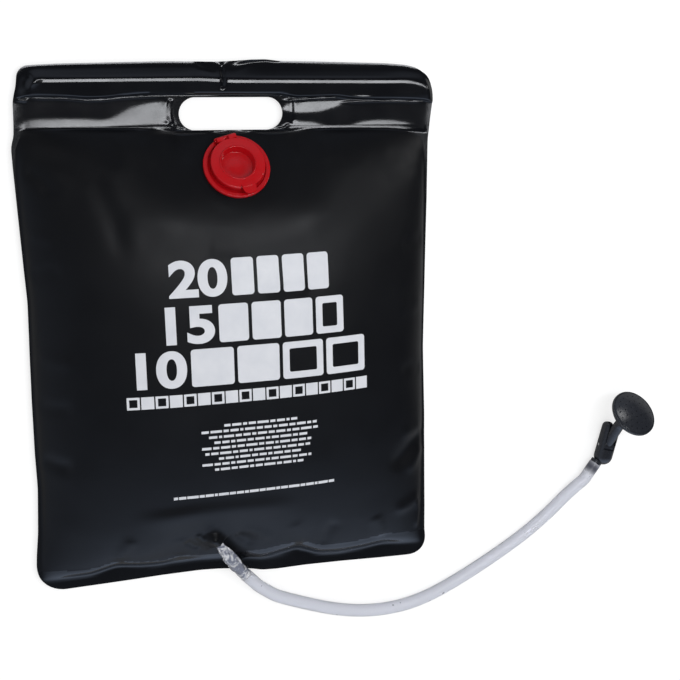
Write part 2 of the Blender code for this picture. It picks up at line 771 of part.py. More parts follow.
def build_hose(start, start_direction, end, end_direction):
    # Both ends run straight, so that each end face meets its barb squarely.
    first = start + start_direction * HOSE_STRAIGHT
    last = end + end_direction * HOSE_STRAIGHT
    middle = from_bottom_edge(HOSE_ROUTE)
    points = [start] + smooth_route([first] + middle + [last], HOSE_SAMPLES) + [end]
    lowest = HOSE_RADIUS + HOSE_FLOOR_GAP
    for point in points:
        point.z = max(point.z, lowest)
    hose = tube_curve("hose", points, HOSE_RADIUS, 3)
    as_part(hose, "hose_vinyl")
    length = sum((b - a).length for a, b in zip(points, points[1:]))
    print("hose length between its fittings:", round(length, 4))


def slot_outline():
    top = BODY_RADIUS + OVERRUN
    front = BODY_FRONT + OVERRUN
    seat = arc((0, 0), SEAT_RADIUS, SLOT_WALL_ANGLE, 3 * math.pi / 2, 2 * ARC_STEPS)
    return [(front, top), (seat[0][0], top)] + seat + [(front, -SEAT_RADIUS)]


def build_valve_body(frame, inlet):
    across = (0, math.pi / 2, 0)
    tip_centre = (BODY_RADIUS - BODY_TIP_ROUND, BODY_FRONT - BODY_TIP_ROUND)
    profile = [(0, BODY_FRONT)]
    profile += arc(tip_centre, BODY_TIP_ROUND, math.pi / 2, 0, ARC_STEPS)
    profile += arc((0, BODY_RADIUS - BODY_BACK), BODY_RADIUS, 0, -math.pi / 2, ARC_STEPS)
    body = as_part(turned("valve_body", profile, BODY_STEPS), "head_black")
    place(body, frame, (0, 0, 0), across)
    tip = INLET_COLLAR_END + INLET_BARB_LENGTH
    spigot = [(0, tip)] + barb_steps(JOINER_RADIUS, JOINER_BARB, tip, INLET_COLLAR_END, BARB_COUNT)
    spigot += [(INLET_COLLAR_RADIUS, INLET_COLLAR_END), (INLET_COLLAR_RADIUS, INLET_COLLAR_START),
               (0, INLET_COLLAR_START)]
    barb = as_cutter(place(turned("inlet_barb", spigot, BODY_STEPS), inlet, (0, 0, 0), across))
    slot_half = SLOT_WIDTH / 2
    slot = as_cutter(place(prism("neck_slot_cut", slot_outline(), -slot_half, slot_half),
                           frame, (0, 0, 0), (math.pi / 2, 0, 0)))
    low = SEAT_RADIUS
    high = SEAT_RADIUS + VALVE_SEAL_LENGTH
    pocket = rod_shape("seal_pocket_cut", VALVE_SEAL_RADIUS + GAP, BODY_RADIUS / 2, high + GAP, BODY_STEPS)
    as_cutter(place(pocket, frame, (0, 0, 0), (0, -math.pi / 2, 0)))
    passage = rod_shape("inlet_bore_cut", INLET_BORE, -OVERRUN, tip + OVERRUN, BODY_STEPS, OFF_BEAT_SHARE)
    as_cutter(place(passage, inlet, (0, 0, 0), across))
    half = BODY_RADIUS + OVERRUN
    pin_hole = rod_shape("pivot_hole_cut", PIVOT_PIN_RADIUS + GAP, -half, half, KNUCKLE_STEPS)
    as_cutter(place(pin_hole, frame, (0, 0, 0), (math.pi / 2, 0, 0)))
    combine(body, barb, "UNION")
    combine(body, slot, "DIFFERENCE")
    for cutter in (pocket, passage, pin_hole):
        combine(body, cutter, "DIFFERENCE")
    ring = [(INLET_BORE, high), (VALVE_SEAL_RADIUS, high), (VALVE_SEAL_RADIUS, low), (INLET_BORE, low)]
    seal = as_part(turned("valve_seal", ring, BODY_STEPS, closed=True), "seal_rubber")
    place(seal, frame, (0, 0, 0), (0, -math.pi / 2, 0))
    reach = BODY_RADIUS - PIVOT_PIN_INSET
    pin = as_part(rod_shape("pivot_pin", PIVOT_PIN_RADIUS, -reach, reach, KNUCKLE_STEPS), "pin_steel")
    place(pin, frame, (0, 0, 0), (math.pi / 2, 0, 0))


def stem_route():
    points = [Vector((0, 0, 0)), Vector((STEM_STRAIGHT, 0, 0))]
    bend = arc((STEM_STRAIGHT, STEM_BEND_RADIUS), STEM_BEND_RADIUS, -math.pi / 2,
               STEM_BEND - math.pi / 2, ARC_STEPS)
    points += [Vector((x, 0, z)) for x, z in bend[1:]]
    direction = Vector((math.cos(STEM_BEND), 0, math.sin(STEM_BEND)))
    points.append(points[-1] + direction * STEM_END)
    return points, direction


def hub_seal_groove(name, side, tilt):
    low = HUB_HALF - 2 * GAP - 2 * HUB_SEAL_CORD
    inner = HUB_SEAL_RING - HUB_SEAL_CORD - GAP
    outer = HUB_SEAL_RING + HUB_SEAL_CORD + GAP
    high = HUB_HALF + OVERRUN
    ring = [(inner, high), (outer, high), (outer, low), (inner, low)]
    groove = turned(name, ring, HUB_SEAL_STEPS, closed=True)
    return as_cutter(place(groove, tilt, (0, 0, 0), (-side * math.pi / 2, 0, 0)))


def build_hub_seal(name, side, tilt):
    ring = arc((HUB_SEAL_RING, 0), HUB_SEAL_CORD, math.tau, 0, HUB_SEAL_SIDES)[:-1]
    seal = as_part(turned(name, ring, HUB_SEAL_STEPS, closed=True), "seal_rubber")
    lift = HUB_HALF - GAP - HUB_SEAL_CORD
    place(seal, tilt, (0, side * lift, 0), (-side * math.pi / 2, 0, 0))


def build_neck(tilt):
    route, direction = stem_route()
    neck = tube_mesh("neck", route, STEM_RADIUS, 5)
    as_part(place(neck, tilt), "head_black")
    hub = rod_shape("neck_hub", HUB_RADIUS, -HUB_HALF, HUB_HALF, BODY_STEPS)
    combine(neck, as_cutter(place(hub, tilt, (0, 0, 0), (math.pi / 2, 0, 0))), "UNION")
    back = Vector((-HUB_RADIUS - OVERRUN, 0, 0))
    front = route[-1] + direction * OVERRUN
    bore = tube_mesh("neck_bore_cut", [back] + route[1:-1] + [front], STEM_BORE, 4)
    combine(neck, as_cutter(place(bore, tilt)), "DIFFERENCE")
    reach = HUB_HALF + OVERRUN
    hole = rod_shape("hub_hole_cut", PIVOT_PIN_RADIUS + GAP, -reach, reach, KNUCKLE_STEPS)
    combine(neck, as_cutter(place(hole, tilt, (0, 0, 0), (math.pi / 2, 0, 0))), "DIFFERENCE")
    for name, side in (("left", 1), ("right", -1)):
        combine(neck, hub_seal_groove("groove_cut_" + name, side, tilt), "DIFFERENCE")
        build_hub_seal("hub_seal_" + name, side, tilt)
    return route[-1]


def rose_shell_profile():
    top = ROSE_DEPTH + ROSE_SEAL_THICKNESS
    rim_foot = top - ROSE_RIM
    ledge = top - FACE_THICKNESS - ROSE_SEAL_THICKNESS - 2 * GAP
    seat = ROSE_RADIUS - ROSE_WALL
    inner = seat - ROSE_LEDGE
    sleeve_in = STEM_RADIUS + GAP
    sleeve_out = sleeve_in + ROSE_WALL
    waist = sleeve_out + (ROSE_RADIUS - sleeve_out) * ROSE_CONE_SHARE
    waist_z = rim_foot * ROSE_CONE_SHARE ** 2
    inner_waist_z = waist_z + ROSE_WALL
    return [
        (seat, top),
        (ROSE_RADIUS, top),
        (ROSE_RADIUS, rim_foot),
        (waist, waist_z),
        (sleeve_out, -ROSE_WALL),
        (sleeve_out, -ROSE_SLEEVE),
        (sleeve_in, -ROSE_SLEEVE),
        (sleeve_in, GAP),
        (waist - ROSE_WALL, inner_waist_z),
        (inner, rim_foot),
        (inner, ledge),
        (seat, ledge),
    ]


def rose_face_profile():
    rim = ROSE_RADIUS - ROSE_WALL - GAP
    top = ROSE_DEPTH + ROSE_SEAL_THICKNESS
    foot = top - FACE_THICKNESS
    bend = (rim * rim + ROSE_DOME * ROSE_DOME) / (2 * ROSE_DOME)
    spread = math.asin(rim / bend)
    outer = arc((0, top + ROSE_DOME - bend), bend, math.pi / 2, math.pi / 2 - spread, DOME_STEPS)
    inner = arc((0, foot + ROSE_DOME - bend), bend, math.pi / 2 - spread, math.pi / 2, DOME_STEPS)
    outer[0] = (0, outer[0][1])
    inner[-1] = (0, inner[-1][1])
    return outer + inner


def rose_holes():
    bm = bmesh.new()
    places = [(0, 0)]
    for ring in range(1, ROSE_RINGS + 1):
        count = 6 * ring
        radius = ring * ROSE_HOLE_PITCH
        places += [(radius * math.cos(math.tau * i / count), radius * math.sin(math.tau * i / count))
                   for i in range(count)]
    height = ROSE_DEPTH + ROSE_DOME + OVERRUN
    for x, y in places:
        bmesh.ops.create_cone(bm, cap_ends=True, segments=8, radius1=ROSE_HOLE, radius2=ROSE_HOLE,
                              depth=height, matrix=Matrix.Translation((x, y, height / 2 + GAP)))
    return mesh_object("rose_holes_cut", bm)


def build_rose(tilt, end):
    frame = make_empty("rose_frame", tilt, end, (0, math.pi / 2 - STEM_BEND, 0))
    shell = turned("rose_shell", rose_shell_profile(), ROSE_STEPS, closed=True)
    as_part(place(shell, frame), "head_black")
    face = as_part(place(turned("rose_face", rose_face_profile(), ROSE_STEPS), frame), "head_black")
    combine(face, as_cutter(place(rose_holes(), frame)), "DIFFERENCE")
    outer = ROSE_RADIUS - ROSE_WALL - GAP
    inner = ROSE_RADIUS - ROSE_WALL - ROSE_LEDGE
    high = ROSE_DEPTH + ROSE_SEAL_THICKNESS - FACE_THICKNESS - GAP
    low = high - ROSE_SEAL_THICKNESS
    ring = [(inner, high), (outer, high), (outer, low), (inner, low)]
    as_part(place(turned("rose_seal", ring, ROSE_STEPS, closed=True), frame), "seal_rubber")


def build_head():
    frame = make_empty("head_frame", None, (PIVOT_X, PIVOT_Y, BODY_RADIUS), (0, 0, HEAD_TURN))
    inlet_start = Vector((BODY_RADIUS - BODY_BACK, INLET_ASIDE, 0))
    spin = math.tau / BODY_STEPS * OFF_BEAT_SHARE
    inlet = make_empty("inlet_frame", frame, inlet_start, (spin, 0, INLET_TURN))
    tilt = make_empty("neck_pivot", frame, (0, 0, 0), (0, -NECK_REST, 0))
    build_valve_body(frame, inlet)
    build_rose(tilt, build_neck(tilt))
    turn = Matrix.Rotation(HEAD_TURN, 3, "Z")
    outward = turn @ Matrix.Rotation(INLET_TURN, 3, "Z") @ Vector((1, 0, 0))
    tip = INLET_COLLAR_END + INLET_BARB_LENGTH + GAP
    return Vector((PIVOT_X, PIVOT_Y, BODY_RADIUS)) + turn @ inlet_start + outward * tip, outward


def build_bag_shower():
    spout_points = smooth_route(from_bottom_edge(SPOUT_ROUTE), SPOUT_SAMPLES)
    spout_end = spout_points[-1]
    spout_direction = (spout_points[-1] - spout_points[-2]).normalized()
    filler_frame = build_filler()
    spout_hole = build_films(filler_frame, spout_points)
    build_rods()
    build_outlet(spout_points, spout_hole)
    hose_start = build_joiner(spout_end, spout_direction)
    hose_end, hose_end_direction = build_head()
    build_hose(hose_start, spout_direction, hose_end, hose_end_direction)


clear_scene()
PARTS = make_collection("camp_shower_bag")
CUTTERS = make_collection("cutters")
build_bag_shower()
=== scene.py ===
import math

import bmesh
import bpy
import numpy as np
from mathutils import Matrix, Vector, noise


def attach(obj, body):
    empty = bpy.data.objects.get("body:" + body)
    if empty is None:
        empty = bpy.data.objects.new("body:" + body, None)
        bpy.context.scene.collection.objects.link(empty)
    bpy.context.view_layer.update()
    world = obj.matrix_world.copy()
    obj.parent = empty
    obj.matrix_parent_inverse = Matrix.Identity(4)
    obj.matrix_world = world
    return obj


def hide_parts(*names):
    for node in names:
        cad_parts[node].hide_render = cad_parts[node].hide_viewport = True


# Looks of the camp shower bag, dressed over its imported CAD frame. Metres, in the row frame:
# +X to the right, +Y towards the hand hole, +Z up, the bag lying on its back on the floor.
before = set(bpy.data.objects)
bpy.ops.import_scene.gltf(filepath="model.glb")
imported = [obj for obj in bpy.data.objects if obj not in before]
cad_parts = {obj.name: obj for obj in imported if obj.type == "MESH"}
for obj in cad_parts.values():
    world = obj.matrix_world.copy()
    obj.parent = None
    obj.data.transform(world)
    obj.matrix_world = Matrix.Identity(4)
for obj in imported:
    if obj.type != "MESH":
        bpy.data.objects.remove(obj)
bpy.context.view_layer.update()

# Bag size and its welds, as in the CAD source
FILM = 0.0007
BAG_WIDTH = 0.400
BAG_TOP = 0.250
TOP_RIGHT_CORNER = 0.016
TOP_LEFT_CORNER = 0.009
BOTTOM_LEFT_CORNER = 0.028
BOTTOM_RIGHT_CORNER = 0.020
SIDE_PULL = 0.0035
CHAMBER_HALF_WIDTH = 0.194
CHAMBER_TOP = 0.1879
CHAMBER_FOOT = -0.238
CHAMBER_MIDDLE = (CHAMBER_TOP + CHAMBER_FOOT) / 2
CHAMBER_HALF_HEIGHT = (CHAMBER_TOP - CHAMBER_FOOT) / 2
HEM_FOOT = 0.2224
ROD_Y = 0.2362
WELD_LIFT = 0.007
FRONT_RISE = 0.048
BACK_FALL = 0.014
FRONT_WELD_Z = WELD_LIFT + FILM / 2
BACK_WELD_Z = WELD_LIFT - FILM / 2
HAND_HOLE = (0.100, 0.0305)
HAND_HOLE_Y = CHAMBER_TOP + (HEM_FOOT - CHAMBER_TOP) * 0.546
GAP = 0.0003

# Filler valve, outlet and shower head places, as in the CAD source
FILLER_DROP = 0.0305
FILLER_Y = CHAMBER_TOP - FILLER_DROP
FILLER_TILT = math.radians(30)
FILLER_TURN = math.radians(17)
FLANGE_FOOT = 0.0605
BORE = 0.0178
OUTLET_X = -0.0265
OUTLET_Y = CHAMBER_FOOT + 0.0285
OUTLET_TILT = math.radians(30)
PIVOT = Vector((0.4112, -0.154, 0.010))
HEAD_TURN = math.radians(75)
NECK_REST = math.radians(27)
INLET_TURN = math.radians(158)
STEM_BEND = math.radians(22)

CAMERA_PLACE = (-0.25316, 0.23668, 1.18481)
CAMERA_RIGHT = (0.95621, 0.0, 0.29269)
CAMERA_UP = (0.05933, 0.97924, -0.19382)
CAMERA_BACK = (-0.28662, 0.20270, 0.93636)
CAMERA_LENS = 66.18
SENSOR_WIDTH = 36


# ---- Studio ----

# Light of the studio's sky on matt surfaces, and what glossy surfaces see of it: for each
# layer its direction, where it starts and is full along it, and its colour.
SKY_LEVEL = 0.62
HORIZON_GLOWS = (
    ((0, 0, 1), -1.0, -0.9, (0.026, 0.027, 0.030)),
    ((0, -1, 0), 0.30, 0.95, (0.90, 1.08, 1.42)),
    ((-1, 0, 0), 0.40, 0.95, (0.30, 0.34, 0.42)),
    ((0, 1, 0), 0.66, 0.98, (0.26, 0.29, 0.36)),
)
FLOOR_DEPTH = 0.0002
FLOOR_GREY = 0.42
FLOOR_GLOW = 0.66
WHITE = (1.0, 1.0, 1.0, 1.0)
BLACK = (0.0, 0.0, 0.0, 1.0)


def put_in_scene(name, data, axes, place):
    # A new object whose right, up and back axes are given.
    item = bpy.data.objects.new(name, data)
    bpy.context.scene.collection.objects.link(item)
    item.matrix_world = Matrix.Translation(place) @ Matrix(axes).transposed().to_4x4()
    return item


def add_camera():
    data = bpy.data.cameras.new("camera")
    data.lens = CAMERA_LENS
    data.sensor_width = SENSOR_WIDTH
    axes = (CAMERA_RIGHT, CAMERA_UP, CAMERA_BACK)
    bpy.context.scene.camera = put_in_scene("camera", data, axes, CAMERA_PLACE)


def soft_light(name, place, target, size, power):
    data = bpy.data.lights.new(name, "AREA")
    data.shape = "RECTANGLE"
    data.size, data.size_y = size
    data.energy = power
    # Its width lies along the bag's own width.
    back = (Vector(place) - Vector(target)).normalized()
    right = (Vector((1, 0, 0)) - back * back.x).normalized()
    light = put_in_scene(name, data, (right, back.cross(right), back), place)
    light.visible_camera = False
    return light


def shader_node(tree, kind, inputs=(), **settings):
    # A node's outputs. Each of its inputs gets a value or is linked to another node's output.
    node = tree.nodes.new(kind)
    for setting, value in settings.items():
        setattr(node, setting, value)
    for socket, value in dict(inputs).items():
        if isinstance(value, bpy.types.NodeSocket):
            tree.links.new(value, node.inputs[socket])
        else:
            node.inputs[socket].default_value = value
    return node.outputs


def colour_between(tree, share, first, second):
    inputs = {"Factor": share, 6: first, 7: second}
    return shader_node(tree, "ShaderNodeMix", inputs, data_type="RGBA")[2]


def seen_directly(tree):
    # 1 for what the camera sees itself or through clear film, else 0.
    rays = shader_node(tree, "ShaderNodeLightPath")
    inputs = {0: rays["Is Camera Ray"], 1: rays["Is Transmission Ray"]}
    return shader_node(tree, "ShaderNodeMath", inputs, operation="MAXIMUM")[0]


def horizon_glow(tree, where, direction, low, high, colour):
    inputs = {0: where, 1: direction}
    reach = shader_node(tree, "ShaderNodeVectorMath", inputs, operation="DOT_PRODUCT")["Value"]
    inputs = {"Value": reach, "From Min": low, "From Max": high}
    share = shader_node(tree, "ShaderNodeMapRange", inputs, interpolation_type="SMOOTHSTEP")[0]
    return colour_between(tree, share, BLACK, (*colour, 1.0))


def studio_world():
    # White behind the object. In its glosses the studio is dark overhead, paler low down.
    world = bpy.data.worlds.new("studio")
    bpy.context.scene.world = world
    world.use_nodes = True
    tree = world.node_tree
    tree.nodes.clear()
    where = shader_node(tree, "ShaderNodeTexCoord")["Generated"]
    total, *others = [horizon_glow(tree, where, *layer) for layer in HORIZON_GLOWS]
    for layer in others:
        total = shader_node(tree, "ShaderNodeVectorMath", {0: total, 1: layer})[0]
    gloss = shader_node(tree, "ShaderNodeBackground", {"Color": total})[0]
    soft = shader_node(tree, "ShaderNodeBackground", {"Color": WHITE, "Strength": SKY_LEVEL})[0]
    white = shader_node(tree, "ShaderNodeBackground", {"Color": WHITE})[0]
    glossy = shader_node(tree, "ShaderNodeLightPath")["Is Glossy Ray"]
    mixed = shader_node(tree, "ShaderNodeMixShader", {"Fac": glossy, 1: soft, 2: gloss})[0]
    inputs = {"Fac": seen_directly(tree), 1: mixed, 2: white}
    seen = shader_node(tree, "ShaderNodeMixShader", inputs)[0]
    shader_node(tree, "ShaderNodeOutputWorld", {"Surface": seen})


def studio_floor():
    # It glows a little where it is seen directly, so that it stays pale.
    bpy.ops.object.select_all(action="DESELECT")
    bpy.ops.mesh.primitive_plane_add(size=8, location=(0, 0, -FLOOR_DEPTH))
    floor = bpy.context.object
    floor.name = "studio_floor"
    finish = bpy.data.materials.new("pale_floor")
    finish.use_nodes = True
    tree = finish.node_tree
    tree.nodes.clear()
    grey = (FLOOR_GREY, FLOOR_GREY, FLOOR_GREY, 1.0)
    paint = shader_node(tree, "ShaderNodeBsdfDiffuse", {"Color": grey})[0]
    inputs = {0: seen_directly(tree), 1: FLOOR_GLOW}
    strength = shader_node(tree, "ShaderNodeMath", inputs, operation="MULTIPLY")[0]
    glow = shader_node(tree, "ShaderNodeEmission", {"Strength": strength})[0]
    both = shader_node(tree, "ShaderNodeAddShader", {0: paint, 1: glow})[0]
    shader_node(tree, "ShaderNodeOutputMaterial", {"Surface": both})
    floor.data.materials.append(finish)


def light_studio():
    studio_world()
    studio_floor()
    # A strip over the hem draws the glosses. The soft light above shows in none.
    strip = soft_light("hem_strip", (0.28, 0.28, 1.30), (0.0, 0.23, 0.0), (0.95, 0.12), 4.9)
    strip.data.color = (0.94, 0.96, 1.0)
    overhead = soft_light("overhead", (0.0, -0.1, 1.7), (0.0, 0.0, 0.0), (1.2, 1.2), 5.0)
    overhead.visible_glossy = False
    # A small lamp to the right shows in the rose and in the hem's rounded corner.
    soft_light("side_lamp", (0.576, 0.329, 0.337), (0.404, -0.108, 0.051), (0.12, 0.12), 0.34)


# ---- Finishes ----

# For each finish: base colour and roughness, the two colours it lies between and their grain,
# the range of its roughness and its grain, its reliefs as depth, strength and grain, and other
# values of the shader. A grain is scale, detail, distortion and stretch.
FINISHES = {
    # Calendered vinyl, satin where the bag is blown up
    "blown_film": (
        (0.0030, 0.0033, 0.0044), 0.42, ((0.0024, 0.0026, 0.0036), (0.0036, 0.0040, 0.0053)), (14, 4),
        (0.38, 0.46), (22, 5), ((0.00003, 0.4, (1400, 2)), (0.0006, 0.2, (45, 4, 0.6))),
        {"Specular IOR Level": 0.27}),
    # The same vinyl, glossy where the welding tool pressed the hem and the band
    "film_pressed": (
        (0.0040, 0.0044, 0.0058), 0.17, ((0.0034, 0.0037, 0.0050), (0.0047, 0.0052, 0.0068)), (14, 4),
        (0.12, 0.19), (30, 5), ((0.00002, 0.3, (900, 2)), (0.0004, 0.12, (60, 3, 0.6))), {}),
    "moulded_red": (
        (0.44, 0.003, 0.007), 0.18, ((0.46, 0.003, 0.006), (0.40, 0.004, 0.008)), (60, 3),
        (0.14, 0.24), (180, 4), ((0.00003, 0.5, (900, 2)),), {}),
    "moulded_black": (
        (0.017, 0.019, 0.024), 0.32, ((0.014, 0.016, 0.021), (0.021, 0.023, 0.029)), (80, 3),
        (0.20, 0.30), (220, 4), ((0.00003, 0.6, (1100, 2)),), {}),
    # Thin clear film with a crinkled relief; its colour is painted in blotches of highlight white and dark
    # reflection side by side
    "clear_vinyl": (
        (0.90, 0.91, 0.95), 0.10, ((0.96, 0.97, 1.0), (0.30, 0.32, 0.40)), (130, 2, 1.2),
        (0.06, 0.20), (160, 3), ((0.0024, 0.8, (140, 3, 1.4)),),
        {"Transmission Weight": 0.45, "IOR": 1.42}),
    "milky_vinyl": (
        (0.87, 0.88, 0.94), 0.30, ((0.885, 0.90, 0.965), (0.845, 0.86, 0.925)), (18, 2),
        (0.27, 0.34), (60, 2), ((0.00002, 0.3, (900, 2)),),
        {"Transmission Weight": 0.45, "IOR": 1.42}),
    "seal_rubber": (
        (0.03, 0.03, 0.03), 0.62, ((0.024, 0.024, 0.025), (0.040, 0.040, 0.041)), (300, 3),
        (0.55, 0.72), (500, 3), ((0.00002, 0.6, (1600, 2)),), {}),
    "rod_white": (
        (0.74, 0.74, 0.71), 0.4, ((0.76, 0.76, 0.73), (0.69, 0.69, 0.65)), (40, 3),
        (0.34, 0.48), (200, 3), ((0.00003, 0.5, (700, 2)),), {}),
    "pin_steel": (
        (0.60, 0.60, 0.61), 0.3, ((0.63, 0.63, 0.64), (0.52, 0.52, 0.53)), (200, 3),
        (0.22, 0.38), (900, 2, 0, (1, 1, 6)), ((0.00001, 0.6, (2400, 2)),), {"Metallic": 1.0}),
    # Screen-printed silver white, a little thin in places
    "print_white": (
        (0.66, 0.67, 0.70), 0.5, ((0.72, 0.73, 0.76), (0.56, 0.58, 0.63)), (55, 6, 0.4),
        (0.42, 0.62), (300, 3), ((0.00004, 0.5, (1400, 2)),), {}),
}


def grain(tree, where, scale, detail, distortion=0, stretch=(1, 1, 1)):
    centred = shader_node(tree, "ShaderNodeMapping", {"Vector": where, "Scale": stretch})[0]
    inputs = {"Vector": centred, "Scale": scale, "Detail": detail, "Distortion": distortion}
    return shader_node(tree, "ShaderNodeTexNoise", inputs)["Fac"]


def spread(tree, source, low, high, start=0.3, end=0.7):
    inputs = {"Value": source, "From Min": start, "From Max": end, "To Min": low, "To Max": high}
    return shader_node(tree, "ShaderNodeMapRange", inputs)[0]


def make_finish(kind, name=None, contrast=None, painted_shade=None):
    # A procedural finish on one Principled shader, patterned on the piece's own coordinates.
    # The contrast narrows its colours' change, and a painted shade darkens its colour around one place,
    # standing in for a dark part seen through its wall.
    base, rough, colours, colour_grain, rough_range, rough_grain, reliefs, others = FINISHES[kind]
    material = bpy.data.materials.new(name or kind)
    material.use_nodes = True
    tree = material.node_tree
    shader = tree.nodes["Principled BSDF"].inputs
    shader["Base Color"].default_value = (*base, 1.0)
    shader["Roughness"].default_value = rough
    for socket, value in others.items():
        shader[socket].default_value = value
    where = shader_node(tree, "ShaderNodeTexCoord")["Object"]
    share = grain(tree, where, *colour_grain)
    if contrast:
        share = spread(tree, share, 0, 1, *contrast)
    colour = colour_between(tree, share, *[(*tint, 1.0) for tint in colours])
    if painted_shade:
        # Painted shade: near its place the colour turns to a dark tint, as of a dark part behind a clear
        # wall.
        place, full, none, tint = painted_shade
        inputs = {0: where, 1: place}
        far = shader_node(tree, "ShaderNodeVectorMath", inputs, operation="DISTANCE")["Value"]
        colour = colour_between(tree, spread(tree, far, 1, 0, full, none), colour, (*tint, 1.0))
    tree.links.new(colour, shader["Base Color"])
    tree.links.new(spread(tree, grain(tree, where, *rough_grain), *rough_range), shader["Roughness"])
    normal = {}
    for depth, strength, pattern in reliefs:
        inputs = {"Height": grain(tree, where, *pattern), "Distance": depth, "Strength": strength}
        normal = {"Normal": shader_node(tree, "ShaderNodeBump", {**inputs, **normal})["Normal"]}
    tree.links.new(normal["Normal"], shader["Normal"])
    return material


# ---- Modelling steps shared by the pieces ----

SAME_POINT = 0.000002
TURN_TO_X = Matrix.Rotation(math.pi / 2, 4, "Y")
TURN_TO_Y = Matrix.Rotation(math.pi / 2, 4, "X")


def select_only(obj):
    bpy.ops.object.select_all(action="DESELECT")
    obj.select_set(True)
    bpy.context.view_layer.objects.active = obj


def named(name):
    # The primitive just added gets its name and is selected alone.
    obj = bpy.context.object
    obj.name = name
    select_only(obj)
    return obj


def edit_all():
    bpy.ops.object.mode_set(mode="EDIT")
    bpy.ops.mesh.select_all(action="SELECT")


def apply_modifiers(obj):
    select_only(obj)
    for modifier in list(obj.modifiers):
        bpy.ops.object.modifier_apply(modifier=modifier.name)


def settle(obj, place=Matrix()):
    # The piece's place goes into its mesh, and its object stays at the origin.
    select_only(obj)
    obj.matrix_world = place @ obj.matrix_world
    bpy.ops.object.transform_apply(location=True, rotation=True, scale=True)
    return obj


def close_shell(obj):
    select_only(obj)
    edit_all()
    bpy.ops.mesh.remove_doubles(threshold=SAME_POINT)
    bpy.ops.mesh.normals_make_consistent(inside=False)
    bpy.ops.object.mode_set(mode="OBJECT")
    return obj


def joined(pieces):
    select_only(pieces[0])
    for piece in pieces:
        piece.select_set(True)
    bpy.ops.object.join()
    return bpy.context.object


def close_pole(height_step):
    move = {"value": (0, 0, height_step)}
    bpy.ops.mesh.extrude_region_move(TRANSFORM_OT_translate=move)
    bpy.ops.mesh.merge(type="CENTER")


def turned(name, profile, steps=96, closed=False):
    # A ring drawn out step by step along the profile, as on a lathe; a radius of 0 ends in a pole.
    points = list(profile) + ([profile[0]] if closed else [])
    first_pole = points[0] if points[0][0] == 0 else None
    last_pole = points[-1] if points[-1][0] == 0 else None
    rings = [point for point in points if point[0] > 0]
    bpy.ops.mesh.primitive_circle_add(vertices=steps, radius=rings[0][0])
    obj = named(name)
    edit_all()
    bpy.ops.transform.translate(value=(0, 0, rings[0][1]))
    for (radius, height), (next_radius, next_height) in zip(rings, rings[1:]):
        move = {"value": (0, 0, next_height - height)}
        bpy.ops.mesh.extrude_region_move(TRANSFORM_OT_translate=move)
        share = next_radius / radius
        bpy.ops.transform.resize(value=(share, share, 1), center_override=(0, 0, next_height))
    if last_pole:
        close_pole(last_pole[1] - rings[-1][1])
    if first_pole:
        bpy.ops.mesh.select_all(action="DESELECT")
        bm = bmesh.from_edit_mesh(obj.data)
        bm.verts.ensure_lookup_table()
        for index in range(steps):
            bm.verts[index].select_set(True)
        bm.select_flush_mode()
        bmesh.update_edit_mesh(obj.data)
        close_pole(first_pole[1] - rings[0][1])
    bpy.ops.object.mode_set(mode="OBJECT")
    return close_shell(obj)


def plate(name, outline, low, high):
    # A flat outline in XY, drawn out from low to high.
    bpy.ops.mesh.primitive_circle_add(vertices=len(outline), radius=0.01, fill_type="NGON")
    obj = named(name)
    for vertex, (x, y) in zip(obj.data.vertices, outline):
        vertex.co = (x, y, low)
    edit_all()
    bpy.ops.mesh.extrude_region_move(TRANSFORM_OT_translate={"value": (0, 0, high - low)})
    bpy.ops.object.mode_set(mode="OBJECT")
    return close_shell(obj)


def rod(name, radius, low, high, sides=48):
    middle = (0, 0, (low + high) / 2)
    bpy.ops.mesh.primitive_cylinder_add(vertices=sides, radius=radius, depth=high - low, location=middle)
    return settle(named(name))


def block(name, low, high):
    middle = (Vector(low) + Vector(high)) / 2
    bpy.ops.mesh.primitive_cube_add(size=1, location=middle, scale=Vector(high) - Vector(low))
    return settle(named(name))


def combine(target, tool, operation):
    modifier = target.modifiers.new("work", "BOOLEAN")
    modifier.operation = operation
    modifier.solver = "EXACT"
    modifier.object = tool
    apply_modifiers(target)
    bpy.data.objects.remove(tool, do_unlink=True)
    return target


def cut(target, tool):
    return combine(target, tool, "DIFFERENCE")


def add(target, tool):
    return combine(target, tool, "UNION")


def ease_edges(obj, width, segments=2, angle=32):
    bevel = obj.modifiers.new("eased", "BEVEL")
    bevel.width = width
    bevel.segments = segments
    bevel.limit_method = "ANGLE"
    bevel.angle_limit = math.radians(angle)
    apply_modifiers(obj)
    return smooth_shade(obj, angle)


def smooth_shade(obj, angle=35):
    select_only(obj)
    bpy.ops.object.shade_smooth_by_angle(angle=math.radians(angle))
    return obj


def thicken(obj, thickness, offset):
    wall = obj.modifiers.new("wall", "SOLIDIFY")
    wall.thickness = thickness
    wall.offset = offset
    apply_modifiers(obj)


def arc(centre, radius, start, end, steps):
    angles = [start + (end - start) * i / steps for i in range(steps + 1)]
    return [(centre[0] + radius * math.cos(a), centre[1] + radius * math.sin(a)) for a in angles]


def dress(obj, body, finish, slot, *nodes):
    obj.data.materials.clear()
    obj.data.materials.append(finish)
    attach(obj, body)
    if nodes:
        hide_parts(*nodes)
    return obj


# ---- Routes and tubes ----

def blend_points(a, b, start, end, t):
    return a + (b - a) * ((t - start) / (end - start))


def spline_point(corners, knots, t):
    level = list(corners)
    for depth in range(1, 3):
        level = [blend_points(level[i], level[i + 1], knots[i], knots[i + depth], t)
                 for i in range(len(level) - 1)]
    return blend_points(level[0], level[1], knots[1], knots[2], t)


